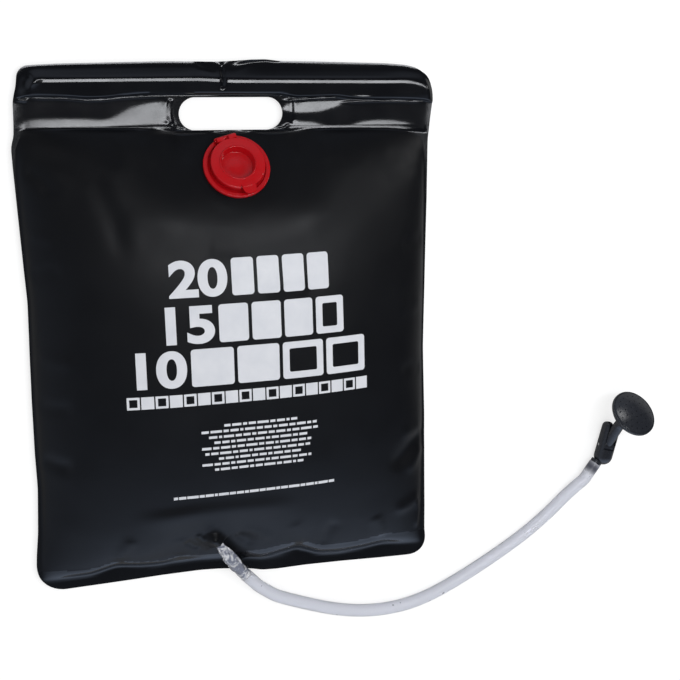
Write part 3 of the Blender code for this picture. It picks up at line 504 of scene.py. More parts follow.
def smooth_route(points, samples):
    route = [Vector(p) for p in points]
    route = [2 * route[0] - route[1]] + route + [2 * route[-1] - route[-2]]
    dense = []
    for corners in zip(route, route[1:], route[2:], route[3:]):
        knots = [0.0]
        for a, b in zip(corners, corners[1:]):
            knots.append(knots[-1] + math.sqrt((b - a).length))
        steps = 24
        dense += [spline_point(corners, knots, knots[1] + (knots[2] - knots[1]) * i / steps)
                  for i in range(steps)]
    return even_steps(dense + [route[-2]], samples)


def even_steps(points, samples):
    lengths = [0.0]
    for a, b in zip(points, points[1:]):
        lengths.append(lengths[-1] + (b - a).length)
    result = []
    for i in range(samples):
        target = lengths[-1] * i / (samples - 1)
        index = min(int(np.searchsorted(lengths, target, side="right")) - 1, len(points) - 2)
        result.append(blend_points(points[index], points[index + 1], lengths[index],
                                   lengths[index + 1], target))
    return result


def ring_shell(centres, radius_at, sides):
    # Rings carried along the route without twisting, and the faces between them.
    side = Vector((0, 0, 1))
    verts, faces = [], []
    last = len(centres) - 1
    for i, centre in enumerate(centres):
        ahead = (centres[min(i + 1, last)] - centres[max(i - 1, 0)]).normalized()
        side = (side - ahead * side.dot(ahead)).normalized()
        across = ahead.cross(side)
        for k in range(sides):
            turn = math.tau * k / sides
            reach = radius_at(i / last, turn)
            verts.append(centre + (side * math.cos(turn) + across * math.sin(turn)) * reach)
            if i < last:
                here, beside = i * sides + k, i * sides + (k + 1) % sides
                faces.append((here, beside, beside + sides, here + sides))
    return verts, faces


def mesh_object(name, points, faces):
    mesh = bpy.data.meshes.new(name)
    mesh.from_pydata(points, [], faces)
    obj = bpy.data.objects.new(name, mesh)
    bpy.context.scene.collection.objects.link(obj)
    return obj


def tube(name, centres, radius_at, wall, sides):
    # An open tube along the route, with its wall inside its radius.
    obj = close_shell(mesh_object(name, *ring_shell(centres, radius_at, sides)))
    thicken(obj, wall, -1)
    return smooth_shade(obj)


def plug_along(name, centres, radius_at, sides=48):
    # A closed rod along the route.
    verts, faces = ring_shell(centres, radius_at, sides)
    faces += [tuple(range(sides)), tuple(range(len(verts) - sides, len(verts)))]
    bpy.ops.mesh.primitive_cube_add(size=0.01)
    obj = named(name)
    obj.data = bpy.data.meshes.new(name)
    obj.data.from_pydata(verts, [], faces)
    return close_shell(obj)


SPOUT_ROUTE = (
    (-0.0330, -0.1990, 0.0120), (-0.0270, -0.2090, 0.0262), (-0.0165, -0.2250, 0.0268),
    (-0.0060, -0.2402, 0.0200), (0.0020, -0.2506, 0.0158), (0.0048, -0.2536, 0.0148),
)
HOSE_ROUTE = (
    (0.0370, -0.2826, 0.0076), (0.0520, -0.2894, 0.0068), (0.0747, -0.2979, 0.0066),
    (0.1009, -0.3063, 0.0066), (0.1274, -0.3118, 0.0066), (0.1542, -0.3136, 0.0066),
    (0.1814, -0.3113, 0.0066), (0.2087, -0.3040, 0.0066), (0.2363, -0.2922, 0.0066),
    (0.2640, -0.2782, 0.0066), (0.2919, -0.2626, 0.0066), (0.3199, -0.2450, 0.0068),
    (0.3477, -0.2232, 0.0076), (0.3660, -0.2060, 0.0088),
)
SLEEVE_ROOT = 0.0034
SLEEVE_FLARE = 0.0037
SLEEVE_WALL = 0.0007
HOSE_RADIUS = 0.0065
HOSE_WALL = 0.00155
HOSE_STRAIGHT = 0.009
HOSE_FLOOR = 0.0001
JOINER_ROOT = 0.0042
JOINER_CREST = 0.0049
JOINER_BORE = 0.0026
JOINER_HALF = 0.0100
JOINER_COLLAR = 0.0066
COLLAR_HALF = 0.0010
# The inlet's collar: its foot, its top and its radius
INLET_COLLAR = (0.0070, 0.0105, 0.0062)
INLET_BARB = 0.0122
INLET_FOOT = (-0.0115, 0.003, 0)

spout_points = smooth_route(SPOUT_ROUTE, 14)
spout_direction = (spout_points[-1] - spout_points[-2]).normalized()
joiner_middle = spout_points[-1] + spout_direction * (GAP + COLLAR_HALF)
joiner_tip = joiner_middle + spout_direction * (COLLAR_HALF + JOINER_HALF + GAP)
HEAD_PLACE = Matrix.Translation(PIVOT) @ Matrix.Rotation(HEAD_TURN, 4, "Z")
INLET_PLACE = HEAD_PLACE @ Matrix.Translation(INLET_FOOT) @ Matrix.Rotation(INLET_TURN, 4, "Z")
TILT_PLACE = HEAD_PLACE @ Matrix.Rotation(-NECK_REST, 4, "Y")
inlet_direction = (INLET_PLACE.to_3x3() @ Vector((1, 0, 0))).normalized()
inlet_start = INLET_PLACE.to_translation()
inlet_tip = inlet_start + inlet_direction * (INLET_COLLAR[1] + INLET_BARB + GAP)
BARB_MIDDLE = inlet_start + inlet_direction * (INLET_COLLAR[1] + INLET_BARB / 2)


def hose_line():
    # The CAD hose's own line, carried on over both barbs to their collars.
    first = joiner_tip + spout_direction * HOSE_STRAIGHT
    last = inlet_tip + inlet_direction * HOSE_STRAIGHT
    start = joiner_middle + spout_direction * (COLLAR_HALF + GAP)
    end = inlet_start + inlet_direction * (INLET_COLLAR[1] + GAP)
    points = [start, joiner_tip] + smooth_route([first, *HOSE_ROUTE, last], 36) + [inlet_tip, end]
    for point in points:
        point.z = max(point.z, HOSE_RADIUS + HOSE_FLOOR)
    return points


def build_hose(finish):
    line = hose_line()
    first = [line[0].lerp(line[1], i / 4) for i in range(4)]
    last = [line[-2].lerp(line[-1], i / 4) for i in range(1, 5)]
    fine = first + smooth_route(line[1:-1], 150) + last
    hose = tube("hose_run", fine, lambda share, turn: HOSE_RADIUS, HOSE_WALL, 36)
    dress(hose, "bag", finish, "hose_vinyl", "hose")


# ---- Bag films ----

def smooth(t):
    t = np.clip(t, 0, 1)
    return t * t * (3 - 2 * t)


def sleeve_radius(share):
    # The outlet sleeve is narrow where it is welded into the film, and opens out along its way.
    return SLEEVE_ROOT + SLEEVE_FLARE * float(smooth(np.float64(share - 0.20) / 0.42))


def line_distance(x, y, points):
    # Distance of every place from a line of points, and how far along the line its foot lies.
    nearest = np.full_like(x, 1e9)
    along = np.zeros_like(x)
    spans = [math.dist(a, b) for a, b in zip(points, points[1:])]
    total, gone = sum(spans), 0.0
    for (ax, ay), (bx, by), span in zip(points, points[1:], spans):
        dx, dy = (bx - ax) / span, (by - ay) / span
        reach = np.clip((x - ax) * dx + (y - ay) * dy, 0, span)
        distance = np.hypot(x - ax - reach * dx, y - ay - reach * dy)
        closer = distance < nearest
        nearest = np.where(closer, distance, nearest)
        along = np.where(closer, (gone + reach) / total, along)
        gone += span
    return nearest, along


def fold(x, y, points, height, width, lead):
    # A soft ridge, or a crease where the height is negative, dying out at both ends.
    route = [(px / 1000, py / 1000) for px, py in points]
    distance, along = line_distance(x, y, route)
    ends = smooth(along / lead) * smooth((1 - along) / lead)
    return height / 1000 * np.exp(-(distance * 1000 / width) ** 2) * ends


def with_folds(height, x, y, folds, lead=0.25):
    return sum((fold(x, y, *shape, lead) for shape in folds), height)


def pillow(x, y):
    u = np.clip(np.abs(x) / CHAMBER_HALF_WIDTH, 0, 1)
    v = np.clip(np.abs(y - CHAMBER_MIDDLE) / CHAMBER_HALF_HEIGHT, 0, 1)
    return ((1 - u ** 2.4) * (1 - v ** 2.4)) ** 0.6


def eased(line, taps):
    # Each value takes the mean of its neighbours, the nearest counting most.
    window = np.hanning(taps)
    return np.convolve(np.pad(line, taps // 2, mode="edge"), window / window.sum(), "valid")


LINE_REACH = 0.206


def along_line(places, stations, reach=LINE_REACH, steps=207, taps=9):
    # A line of millimetre stations read off at every place, softly rounded at its corners.
    fine = np.linspace(-reach, reach, steps)
    line = eased(np.interp(fine * 1000, *zip(*stations)) / 1000, taps)
    return np.interp(places, fine, line)


# The ridge of the hem over the stiffening rods, and the weld under the hand hole's band.
HEM_CREST = (
    (-200, 231), (-190, 235.8), (-176, 236.8), (-140, 237.2), (-104, 237.6), (-68, 237.9),
    (-31, 238.1), (-16, 237.4), (-8, 236.8), (0, 236.4), (27, 236.3), (146, 236.0), (172, 236.2),
    (181, 235.3), (187, 233.4), (192, 230.6), (197, 226.2), (204, 222),
)
SEAM_LINE = (
    (-204, 192.6), (-190, 193.4), (-177, 193.6), (-114, 193.0), (-68, 192.6), (-40, 190.4),
    (-7, 189.5), (29, 189.8), (67, 190.8), (117, 190.6), (160, 190.0), (176, 188.8), (188, 186.8),
    (204, 186.2),
)
HEM_FOOT_LINE = (
    (-204, 220.6), (-193, 221.6), (-186, 222.8), (-158, 222.4), (-149, 221.8), (-136, 220.4),
    (-118, 220.8), (-104, 222.6), (-76, 224.2), (-56, 224), (50, 223.6), (62, 221), (87, 221.6),
    (102, 222.2), (112, 220.6), (124, 219.2), (169, 218.6), (191, 217.9), (204, 214.4),
)
# The hem's upper end, the width of its flat ridge, and its height over the band
HEM_HIGH = BAG_TOP - 0.0012
HEM_FACET = 0.0028
HEM_HEIGHT = 0.0063


def fold_hump(share):
    # From 1 at the middle of a rounded fold to 0 at its foot.
    return np.cos(math.pi / 2 * np.clip(share, 0, 1)) ** 2


def hem_bulge(x, y):
    # The sleeve over the rods lies flattened: a flat ridge, a gentle slope and a steep foot.
    crest = along_line(x, HEM_CREST) - HEM_FACET / 2
    below = np.clip((crest - y) / (crest - along_line(x, HEM_FOOT_LINE)), 0, 1)
    lower = (1 - 0.34 * below) * smooth((1 - below) / 0.17)
    upper = fold_hump((y - crest - HEM_FACET) / (HEM_HIGH - crest - HEM_FACET))
    height = HEM_HEIGHT + 0.4 * np.clip(crest - ROD_Y, 0, 0.004)
    height = height - 0.02 * np.clip(y - crest, 0, HEM_FACET)
    left_fade = smooth((BAG_WIDTH / 2 + x) / 0.016)
    right_fade = smooth((BAG_WIDTH / 2 + 0.001 - x) / 0.008)
    return height * np.where(y < crest, lower, upper) * left_fade * right_fade


def back_hem_bulge(x, y):
    return fold_hump(np.abs(y - ROD_Y) / 0.0125) * smooth((BAG_WIDTH / 2 - np.abs(x)) / 0.016)


def held_patch(x, y, radius, margins, fades):
    share = np.ones_like(x)
    for distance, margin, fade in zip((np.abs(x), np.abs(y)), margins, fades):
        share = share * smooth((radius + margin + fade - distance) / fade)
    return share


# The foot of the chamber wanders where the film gathers along the bottom weld, in millimetres.
FOOT_WAVE = (
    (-200, 0), (-149, 0), (-124, 6), (-96, 2), (-77, 0), (-62, 4), (-34, 0), (0, 0), (19, 1),
    (40, 5), (61, 8), (84, 0), (107, -1), (130, 1), (153, 4), (176, 2), (200, 0),
)


def foot_shift(x, y):
    return along_line(x, FOOT_WAVE, 0.2, 161) * smooth((CHAMBER_FOOT + 0.055 - y) / 0.050)


def undulation(x, y, scale, seed):
    flat = [noise.noise(Vector((a * scale, b * scale, seed))) for a, b in zip(x.ravel(), y.ravel())]
    return np.array(flat).reshape(x.shape)


# Where the hand hole's band leans towards the hem: how softly a zone starts and ends, then x, low
# and high end of it. Elsewhere the band leans a little the other way. Both films share this shape.
LEANING_ZONES = (
    (1.6, 4.0, (
        (-199, 195, 196), (-192, 195, 200), (-184, 195, 203.6), (-160, 195.3, 204), (-137, 195.3, 203.8),
        (-122, 195.4, 202.6), (-114, 195.6, 203.4), (-106, 196, 208), (-95, 196.3, 213.5),
        (-81, 196.8, 217), (-67, 197, 218.5), (-58, 197, 219), (-54, 197, 197))),
    (4.0, 2.4, (
        (50, 210, 210), (54, 207.6, 219), (67, 206.4, 218.6), (87, 207.4, 218.4), (100, 211, 218.4),
        (112, 215, 218.6), (124, 217.6, 218.8), (130, 219, 219))),
    (1.6, 2.4, (
        (48, 195.5, 195.5), (54, 194.8, 199.2), (67, 194.8, 199.8), (82, 194.8, 199), (94, 195, 195))),
    (1.6, 2.4, ((116, 195, 195), (128, 194.8, 198.8), (143, 194.8, 200.2), (160, 194.8, 200.2),
                (174, 194.8, 198.2), (184, 195, 195))),
    (0.7, 0.9, ((-80, 194.2, 194.2), (-72, 193.8, 195.8), (-60, 193.2, 195.2), (-44, 190.6, 192.6),
                (-7, 189.9, 192.1), (36, 190.3, 192.6), (50, 191.8, 194.2), (67, 192.6, 195.2),
                (117, 192.3, 195.0), (169, 191.4, 194.0), (184, 189.4, 191.8), (190, 188, 188))),
)
LEAN = -0.045
LEAN_AWAY = 0.075
# Where the band's shape ends below, under the seam
BAND_LOW = 0.184


def zone_share(x, y, zone):
    start, finish, stations = zone
    start, finish = start / 1000, finish / 1000
    xs, lows, highs = zip(*stations)
    low, high = along_line(x, tuple(zip(xs, lows))), along_line(x, tuple(zip(xs, highs)))
    tall = np.maximum(high - low, 0)
    fading = 1 - 0.22 * np.clip((y - low) / np.maximum(tall, 0.001), 0, 1)
    within = smooth((y - low + start / 2) / start) * smooth((high - y + finish / 2) / finish)
    return within * fading * smooth(tall / 0.0012)


def band_shape():
    # The lean of every place in the band, summed up downwards from the hem.
    xs = np.linspace(-LINE_REACH, LINE_REACH, 413)
    ys = np.linspace(HEM_FOOT + 0.001, BAND_LOW, 192)
    x, y = np.meshgrid(xs, ys)
    share = np.max([zone_share(x, y, zone) for zone in LEANING_ZONES], axis=0)
    lean = LEAN_AWAY + (LEAN - LEAN_AWAY) * np.maximum(share, 0)
    lean = lean * smooth((BAG_WIDTH / 2 - np.abs(x)) / 0.010) * smooth((y - 0.187) / 0.002)
    drop = -np.cumsum(lean, axis=0) * (ys[0] - ys[1])
    return xs, ys, np.array([eased(row, 11) for row in drop])


BAND_XS, BAND_YS, BAND_DROP = band_shape()


def band_height(x, y):
    column = np.clip((x - BAND_XS[0]) / (BAND_XS[1] - BAND_XS[0]), 0, len(BAND_XS) - 1.001)
    row = np.clip((BAND_YS[0] - y) / (BAND_YS[0] - BAND_YS[1]), 0, len(BAND_YS) - 1.001)
    c, r = column.astype(int), row.astype(int)
    u, v = column - c, row - r
    upper = BAND_DROP[r, c] * (1 - u) + BAND_DROP[r, c + 1] * u
    lower = BAND_DROP[r + 1, c] * (1 - u) + BAND_DROP[r + 1, c + 1] * u
    return (upper * (1 - v) + lower * v) * smooth((y - 0.150) / 0.036)


# Folds shared by both films of the band: line of points, height and width, in millimetres
BAND_FOLDS = (
    (((-193, 220.6), (-186, 221.8), (-171, 221.4), (-158, 221.4), (-149, 220.8), (-136, 219.4), (-118, 219.8),
      (-104, 221.4), (-76, 223.0), (-58, 222.6)), 0.42, 1.5),
    (((46, 218.4), (67, 219.4), (87, 220.6), (107, 221.4), (128, 221.8), (146, 221.6)), 0.40, 1.3),
    (((106, 216.6), (128, 217.4), (140, 217.8), (169, 217.4), (193, 216.4)), 0.45, 1.4),
    (((-199, 220.6), (-194, 220.2), (-186, 219.4)), 0.7, 1.6),
    (((-57, 221.5), (-58.5, 214), (-58.5, 205), (-57, 197)), 0.50, 1.9),
    (((-61.5, 220.5), (-63, 214), (-63, 205), (-61.5, 198)), -0.28, 1.7),
    (((57, 221), (58, 214), (58, 205), (57, 197)), 0.45, 1.9),
    (((61.5, 219.5), (63, 214), (63, 205), (61.5, 198)), -0.25, 1.7),
    (((-57, 197), (-52, 193.2), (-44, 191.4)), 0.4, 1.2),
    (((57, 197), (52, 193.2), (44, 191.2)), 0.35, 1.2),
)
HEM_FOLDS = (
    (((-10, 228), (-8.5, 234), (-8, 242), (-9, 250)), -2.2, 2.0),
    (((-5, 247), (6, 249.4), (18, 251.0), (30, 251.5)), 0.9, 1.8),
    (((2, 244.6), (16, 247.6), (32, 248.6), (50, 248.4)), -0.7, 1.8),
    (((-12, 246), (-24, 247.4), (-36, 249.6)), 0.8, 1.8),
    (((-11, 243), (-20, 243.6), (-34, 245.4)), -0.6, 1.6),
    (((-186, 243), (-190, 236), (-190, 228)), -1.4, 3.0),
    (((-184, 241.6), (-122, 241.8), (-49, 243.1), (-16, 244.1)), -0.30, 1.4),
    (((4, 241), (60, 241.2), (150, 241.2), (176, 240.4)), -0.25, 1.4),
    (((-196, 226), (-189, 231), (-181, 239), (-178, 247)), 0.9, 2.6),
)
# The gather over the outlet's sleeve: where it starts, and its mouth
PUCKER = ((-0.0385, -0.1990), (-0.0250, -0.2135))
PUCKER_HEIGHT = 0.0118
PUCKER_WIDTH = 0.0078
PUCKER_LIP = 0.0024
# Folds in the front film of the chamber
CHAMBER_FOLDS = (
    (((-192, -233), (-149, -233), (-124, -227), (-96, -231), (-77, -233), (-62, -229), (-44, -232)),
     0.9, 3.2),
    (((-6, -233), (19, -232), (40, -228), (61, -225), (84, -233), (107, -234), (130, -232), (153, -229),
      (176, -231), (190, -228)), 0.9, 3.2),
    (((-190, 178), (-157, 165), (-132, 148), (-118, 112), (-108, 66)), -1.2, 9.0),
    (((-176, 184), (-146, 174), (-116, 154), (-101, 116), (-93, 76)), 0.6, 11.0),
    (((14, 47), (40, 49), (66, 47)), 1.4, 12.0),
    (((-34, 86), (-16, 84), (0, 86)), 0.7, 8.0),
    (((-190, 160), (-176, 150), (-166, 132)), -1.8, 6.0),
    (((128, 166), (144, 152), (156, 134)), -0.6, 6.0),
    (((150, 172), (168, 160), (182, 142)), -0.8, 6.0),
    (((98, 176), (112, 162), (118, 146)), 0.5, 7.0),
    (((194, -112), (180, -126), (166, -140), (156, -154)), -3.0, 8.0),
    (((194, -132), (184, -146), (174, -160)), 1.8, 6.0),
    (((192, -186), (176, -196), (160, -200)), 1.8, 6.0),
    (((188, -190), (189.5, -205), (188, -224)), 1.6, 3.0),
    (((-48, -199), (-40, -207), (-34, -211)), 2.2, 3.0),
    (((-58, -206), (-50, -214), (-42, -220)), -1.6, 4.0),
    (((-8, -204), (4, -212), (14, -222)), -1.8, 5.0),
    (((-2, -196), (14, -204), (30, -216)), 1.2, 5.0),
    (((-124, -226), (-118, -212), (-108, -196)), 1.8, 6.0),
    (((-62, -228), (-60, -216), (-62, -200)), 1.0, 7.0),
    (((62, -226), (58, -210), (50, -194)), 1.3, 8.0),
    (((84, -230), (88, -214), (96, -198)), -1.8, 6.0),
    (((150, -228), (146, -214), (138, -200)), 1.6, 6.0),
    (((-192, -112), (-180, -118), (-162, -122)), -1.9, 6.0),
    (((-193, -60), (-178, -64), (-160, -62)), -1.2, 6.0),
    (((-193, -10), (-176, -18), (-156, -20)), 1.0, 7.0),
    (((-193, 60), (-178, 66), (-164, 68)), -1.3, 6.0),
    (((-193, 100), (-180, 98), (-166, 92)), 0.9, 5.0),
    (((193, 84), (178, 80), (162, 82)), -1.2, 6.0),
    (((193, 20), (176, 14), (158, 16)), 1.0, 7.0),
    (((193, -50), (178, -46), (162, -50)), -1.3, 6.0),
    (((193, -110), (180, -116), (164, -114)), 1.2, 6.0),
    (((-120, 187), (-112, 174), (-108, 160)), -1.0, 5.0),
    (((-84, 187), (-80, 172), (-74, 158)), 1.0, 6.0),
    (((-52, 187), (-47, 176), (-44, 162)), -1.0, 5.0),
    (((56, 187), (58, 174), (62, 160)), -1.1, 5.0),
    (((84, 187), (90, 172), (92, 160)), 0.9, 6.0),
    (((-30, 186), (-33, 178), (-36, 170)), 0.8, 3.5),
    (((30, 186), (34, 178), (38, 168)), 0.8, 3.5),
)
# How a patch welded on holds the film: its radius, how far past that it holds across and along
# the bag, and over what lengths it lets go there.
FILLER_HOLD = (0.032, (0.020, 0.002), (0.060, 0.058))
OUTLET_HOLD = (0.018, (0.016, 0.004), (0.055, 0.044))
# The film's own waves in the chamber
BROAD_WAVE = 0.0009
FINE_WAVE = 0.0005


def held_rise(rise, x, y, plane, radius, margins, fades):
    # A welded-on patch draws the film down to its plane from afar, and lifts it only near by.
    share = held_patch(x, y, radius, margins, fades)
    near = held_patch(x, y, radius, (margins[0], 0.006), (fades[0], 0.020))
    lifted = smooth((plane - rise) / 0.008)
    return rise + (share + (np.minimum(share, near) - share) * lifted) * (plane - rise)


def filler_plane(y):
    # The plane under the filler's flange. It leaves the seam softly, and levels off past the flange.
    down = CHAMBER_TOP - y
    down = (down + np.sqrt(down ** 2 + 0.0015 ** 2)) / 2
    past = down - FLANGE_FOOT
    past = (past + np.sqrt(past ** 2 + 0.016 ** 2)) / 2
    return math.tan(FILLER_TILT) * (down - past) + 0.25 * past


def chamber_rise(x, y):
    # The CAD film's own shape, its seam and its foot wandering a little as in the real bag.
    seam_shift = (along_line(x, SEAM_LINE) - CHAMBER_TOP) * smooth((y - CHAMBER_TOP + 0.050) / 0.050)
    rise = FRONT_RISE * pillow(x, y - foot_shift(x, y) - seam_shift)
    inside = (y > CHAMBER_FOOT) & (y < CHAMBER_TOP + seam_shift)
    held = held_rise(rise, x, y - FILLER_Y, filler_plane(y), *FILLER_HOLD)
    plane = math.tan(OUTLET_TILT) * (y - CHAMBER_FOOT)
    held = held_rise(held, x - OUTLET_X, y - OUTLET_Y, plane, *OUTLET_HOLD)
    return np.where(inside, held, rise)


def softened_rise(x, y):
    # Film doesn't turn sharply: each place takes the mean of its neighbourhood.
    total = chamber_rise(x, y)
    count = 1
    for reach in (0.0010, 0.0020):
        for i in range(6):
            turn = math.tau * (i + reach * 500) / 6
            total = total + chamber_rise(x + reach * math.cos(turn), y + reach * math.sin(turn))
            count += 1
    return total / count


def loose_share(x, y):
    # 1 where the film is free to crumple, 0 under the filler's flange and the outlet's plate.
    filler = np.hypot(x, y - FILLER_Y)
    outlet = np.hypot(x - OUTLET_X, y - OUTLET_Y)
    return smooth((filler - 0.034) / 0.010) * smooth((outlet - 0.009) / 0.008)


def front_height(x, y):
    exact = chamber_rise(x, y)
    eased_off = (softened_rise(x, y) - exact) * loose_share(x, y)
    return FRONT_WELD_Z + exact + eased_off + hem_bulge(x, y)


def edge_share(x, y):
    return smooth((BAG_WIDTH / 2 - np.abs(x)) / 0.006) * smooth((BAG_TOP + 0.003 - np.abs(y)) / 0.006)


def band_folds(x, y):
    return with_folds(band_height(x, y), x, y, BAND_FOLDS, 0.12) * edge_share(x, y)


def front_folds(x, y):
    total = with_folds(np.zeros_like(x), x, y, HEM_FOLDS + CHAMBER_FOLDS)
    full = pillow(x, y)
    total += BROAD_WAVE * full * undulation(x, y, 11, 3.1)
    total += FINE_WAVE * smooth(full * 4) * undulation(x, y, 30, 7.7)
    return (total * edge_share(x, y) + band_folds(x, y)) * loose_share(x, y) + sleeve_pucker(x, y)


def sleeve_pucker(x, y):
    # The film gathered in a tent over the root of the outlet sleeve, open where the sleeve comes out.
    (start_x, start_y), (mouth_x, mouth_y) = PUCKER
    length = math.hypot(mouth_x - start_x, mouth_y - start_y)
    ahead_x, ahead_y = (mouth_x - start_x) / length, (mouth_y - start_y) / length
    along = (x - start_x) * ahead_x + (y - start_y) * ahead_y
    aside = (x - start_x) * ahead_y - (y - start_y) * ahead_x
    rise = smooth(along / 0.013) * smooth((length + PUCKER_LIP - along) / PUCKER_LIP)
    return PUCKER_HEIGHT * rise * np.exp(-(aside / PUCKER_WIDTH) ** 2)


def back_height(x, y):
    fall = BACK_FALL * pillow(x, y) + (BACK_WELD_Z - FILM / 2) * back_hem_bulge(x, y)
    return np.maximum(FILM / 2, BACK_WELD_Z - fall + band_folds(x, y) * smooth((y - 0.186) / 0.008))


def side_reach(y, top_corner, bottom_corner):
    # How far one side of the bag reaches out at each height.
    reach = BAG_WIDTH / 2 - SIDE_PULL * (1 - (y / BAG_TOP) ** 2)
    for corner, sign in ((top_corner, 1), (bottom_corner, -1)):
        into = np.clip(sign * y - (BAG_TOP - corner), 0, corner)
        reach = reach - (corner - np.sqrt(corner ** 2 - into ** 2))
    return reach


# Spans of the film's rows and columns, in millimetres, and how many steps each takes. They lie
# closest over the foot, the seam, the hem and the outlet.
ROW_SPANS = (
    (-238, -198, 30), (-198, 186, 102), (186, 197, 24), (197, 215, 16), (215, 225, 20), (225, 233, 6),
    (233, 242, 18),
)
COLUMN_SPANS = (
    (-194, -184, 8), (-184, -64, 38), (-64, -46, 18), (-46, 2, 36), (2, 46, 14), (46, 64, 18),
    (64, 184, 38), (184, 194, 8),
)


def graded(spans):
    runs = [np.linspace(low, high, count + 1)[1:] for low, high, count in spans]
    return np.concatenate([[spans[0][0]], *runs]) / 1000


def film_rows():
    corner = BOTTOM_LEFT_CORNER * np.sin(np.linspace(math.pi / 2, 0.10, 11))
    foot = -(BAG_TOP - BOTTOM_LEFT_CORNER) - corner
    middle = graded(ROW_SPANS)
    top = middle[-1] + (BAG_TOP - middle[-1]) * np.sin(np.linspace(0, math.pi / 2, 11))[1:]
    return np.concatenate([foot[foot < CHAMBER_FOOT - 0.0004], middle, top])


def film_grid():
    rows = film_rows()
    inner = graded(COLUMN_SPANS) / CHAMBER_HALF_WIDTH
    left = side_reach(rows, TOP_LEFT_CORNER, BOTTOM_LEFT_CORNER)
    right = side_reach(rows, TOP_RIGHT_CORNER, BOTTOM_RIGHT_CORNER)
    weld = np.array([0.35, 0.7, 1.0])
    columns = []
    for reaches in zip(left, right):
        chambers = [min(CHAMBER_HALF_WIDTH, reach - 0.002) for reach in reaches]
        welds = [chamber + (reach - chamber) * weld for chamber, reach in zip(chambers, reaches)]
        middle = np.where(inner < 0, chambers[0] * inner, chambers[1] * inner)
        columns.append(np.concatenate([-welds[0][::-1], middle, welds[1]]))
    x = np.array(columns)
    return x, np.repeat(rows[:, None], x.shape[1], axis=1)


# How far the edges of the real bag stand out from the plain outline: place along the edge and
# distance outwards, in millimetres.
LEFT_DRIFT = (
    (-256, 0), (-236, 1), (-215, 0.5), (-190, -1.4), (-145, -2.4), (-110, -0.8), (-60, 0), (-20, 0),
    (35, -0.6), (65, 1), (100, 2.6), (130, 3.8), (160, 4.9), (178, 5.2), (188, 2.2), (200, 1.4),
    (218, 0.9), (224, -0.4), (232, -2.8), (250, -5.4),
)
RIGHT_DRIFT = (
    (-256, 4), (-240, 3), (-225, 1.4), (-200, 1.8), (-150, 1.8), (-100, 1.7), (-60, 0.6), (-30, -0.3),
    (30, 0.4), (120, 0.8), (180, 0.1), (190, 1), (203, 2), (218, 3.7), (228, 2.7), (236, 0.2), (248, -3),
)
TOP_DRIFT = (
    (-200, 0), (-184, 1.2), (-160, 2.3), (-112, 3.6), (-64, 4.7), (-16, 4.6), (4, 5.4), (18, 6.6),
    (34, 7), (46, 5.6), (80, 5.2), (128, 4.3), (152, 3.9), (176, 2.3), (190, -0.4), (204, -2.4),
)
FOOT_DRIFT = (
    (-204, 1.6), (-170, 0), (-140, -0.9), (-110, -1.9), (-80, -3.2), (-40, -4), (-22, -3.2), (-2, -1.4),
    (12, 0.6), (24, 3.4), (40, 4), (70, 3.2), (110, 3.6), (150, 4.6), (176, 5), (204, 5),
)


def drift(places, stations):
    return along_line(places, stations, 0.258, 259, 7)


def drifted(x, y):
    # Each edge's drift fades inwards over some centimetres.
    left = drift(y, LEFT_DRIFT) * smooth((-x - 0.150) / 0.044)
    right = drift(y, RIGHT_DRIFT) * smooth((x - 0.150) / 0.044)
    top = drift(x, TOP_DRIFT) * smooth((y - 0.241) / 0.009)
    foot = drift(x, FOOT_DRIFT) * smooth((-y - 0.205) / 0.040)
    return x - left + right, y + top - foot


def film_sheet(name, height_at):
    x, y = film_grid()
    points = np.stack([*drifted(x, y), height_at(x, y)], axis=-1).reshape(-1, 3)
    tall, wide = x.shape
    faces = [(r * wide + c, r * wide + c + 1, (r + 1) * wide + c + 1, (r + 1) * wide + c)
             for r in range(tall - 1) for c in range(wide - 1)]
    return mesh_object(name, points.tolist(), faces)


def hand_hole_cutter():
    width, height = HAND_HOLE
    radius, reach = height / 2, width / 2 - height / 2
    right = arc((reach, HAND_HOLE_Y), radius, -math.pi / 2, math.pi / 2, 32)
    left = arc((-reach, HAND_HOLE_Y), radius, math.pi / 2, 3 * math.pi / 2, 32)
    return plate("hand_hole_tool", right + left, -0.01, 0.06)


def filler_place():
    slope = Matrix.Rotation(-FILLER_TILT, 4, "X")
    lift = FRONT_WELD_Z - FILM / 2 + 0.00035 + math.tan(FILLER_TILT) * FILLER_DROP
    normal = slope.to_3x3() @ Vector((0, 0, 1))
    origin = Vector((0, FILLER_Y, lift)) + normal * (0.0002 + GAP)
    return Matrix.Translation(origin) @ slope @ Matrix.Rotation(FILLER_TURN, 4, "Z")


FILLER_PLACE = filler_place()
SEAM_EDGE = 0.0004
FOOT_WELD = 0.0085


def press_welds(film, finish):
    # The glossy finish goes on the band, the hem and the foot, where the welding tool pressed.
    film.data.materials.append(finish)
    mesh = film.data
    centres = np.empty(len(mesh.polygons) * 3)
    mesh.polygons.foreach_get("center", centres)
    x, y = centres.reshape(-1, 3)[:, :2].T
    above = y > along_line(x, SEAM_LINE) - SEAM_EDGE
    below = y < CHAMBER_FOOT + foot_shift(x, CHAMBER_FOOT) + FOOT_WELD
    mesh.polygons.foreach_set("material_index", (above | below).astype(np.int32))
    mesh.update()


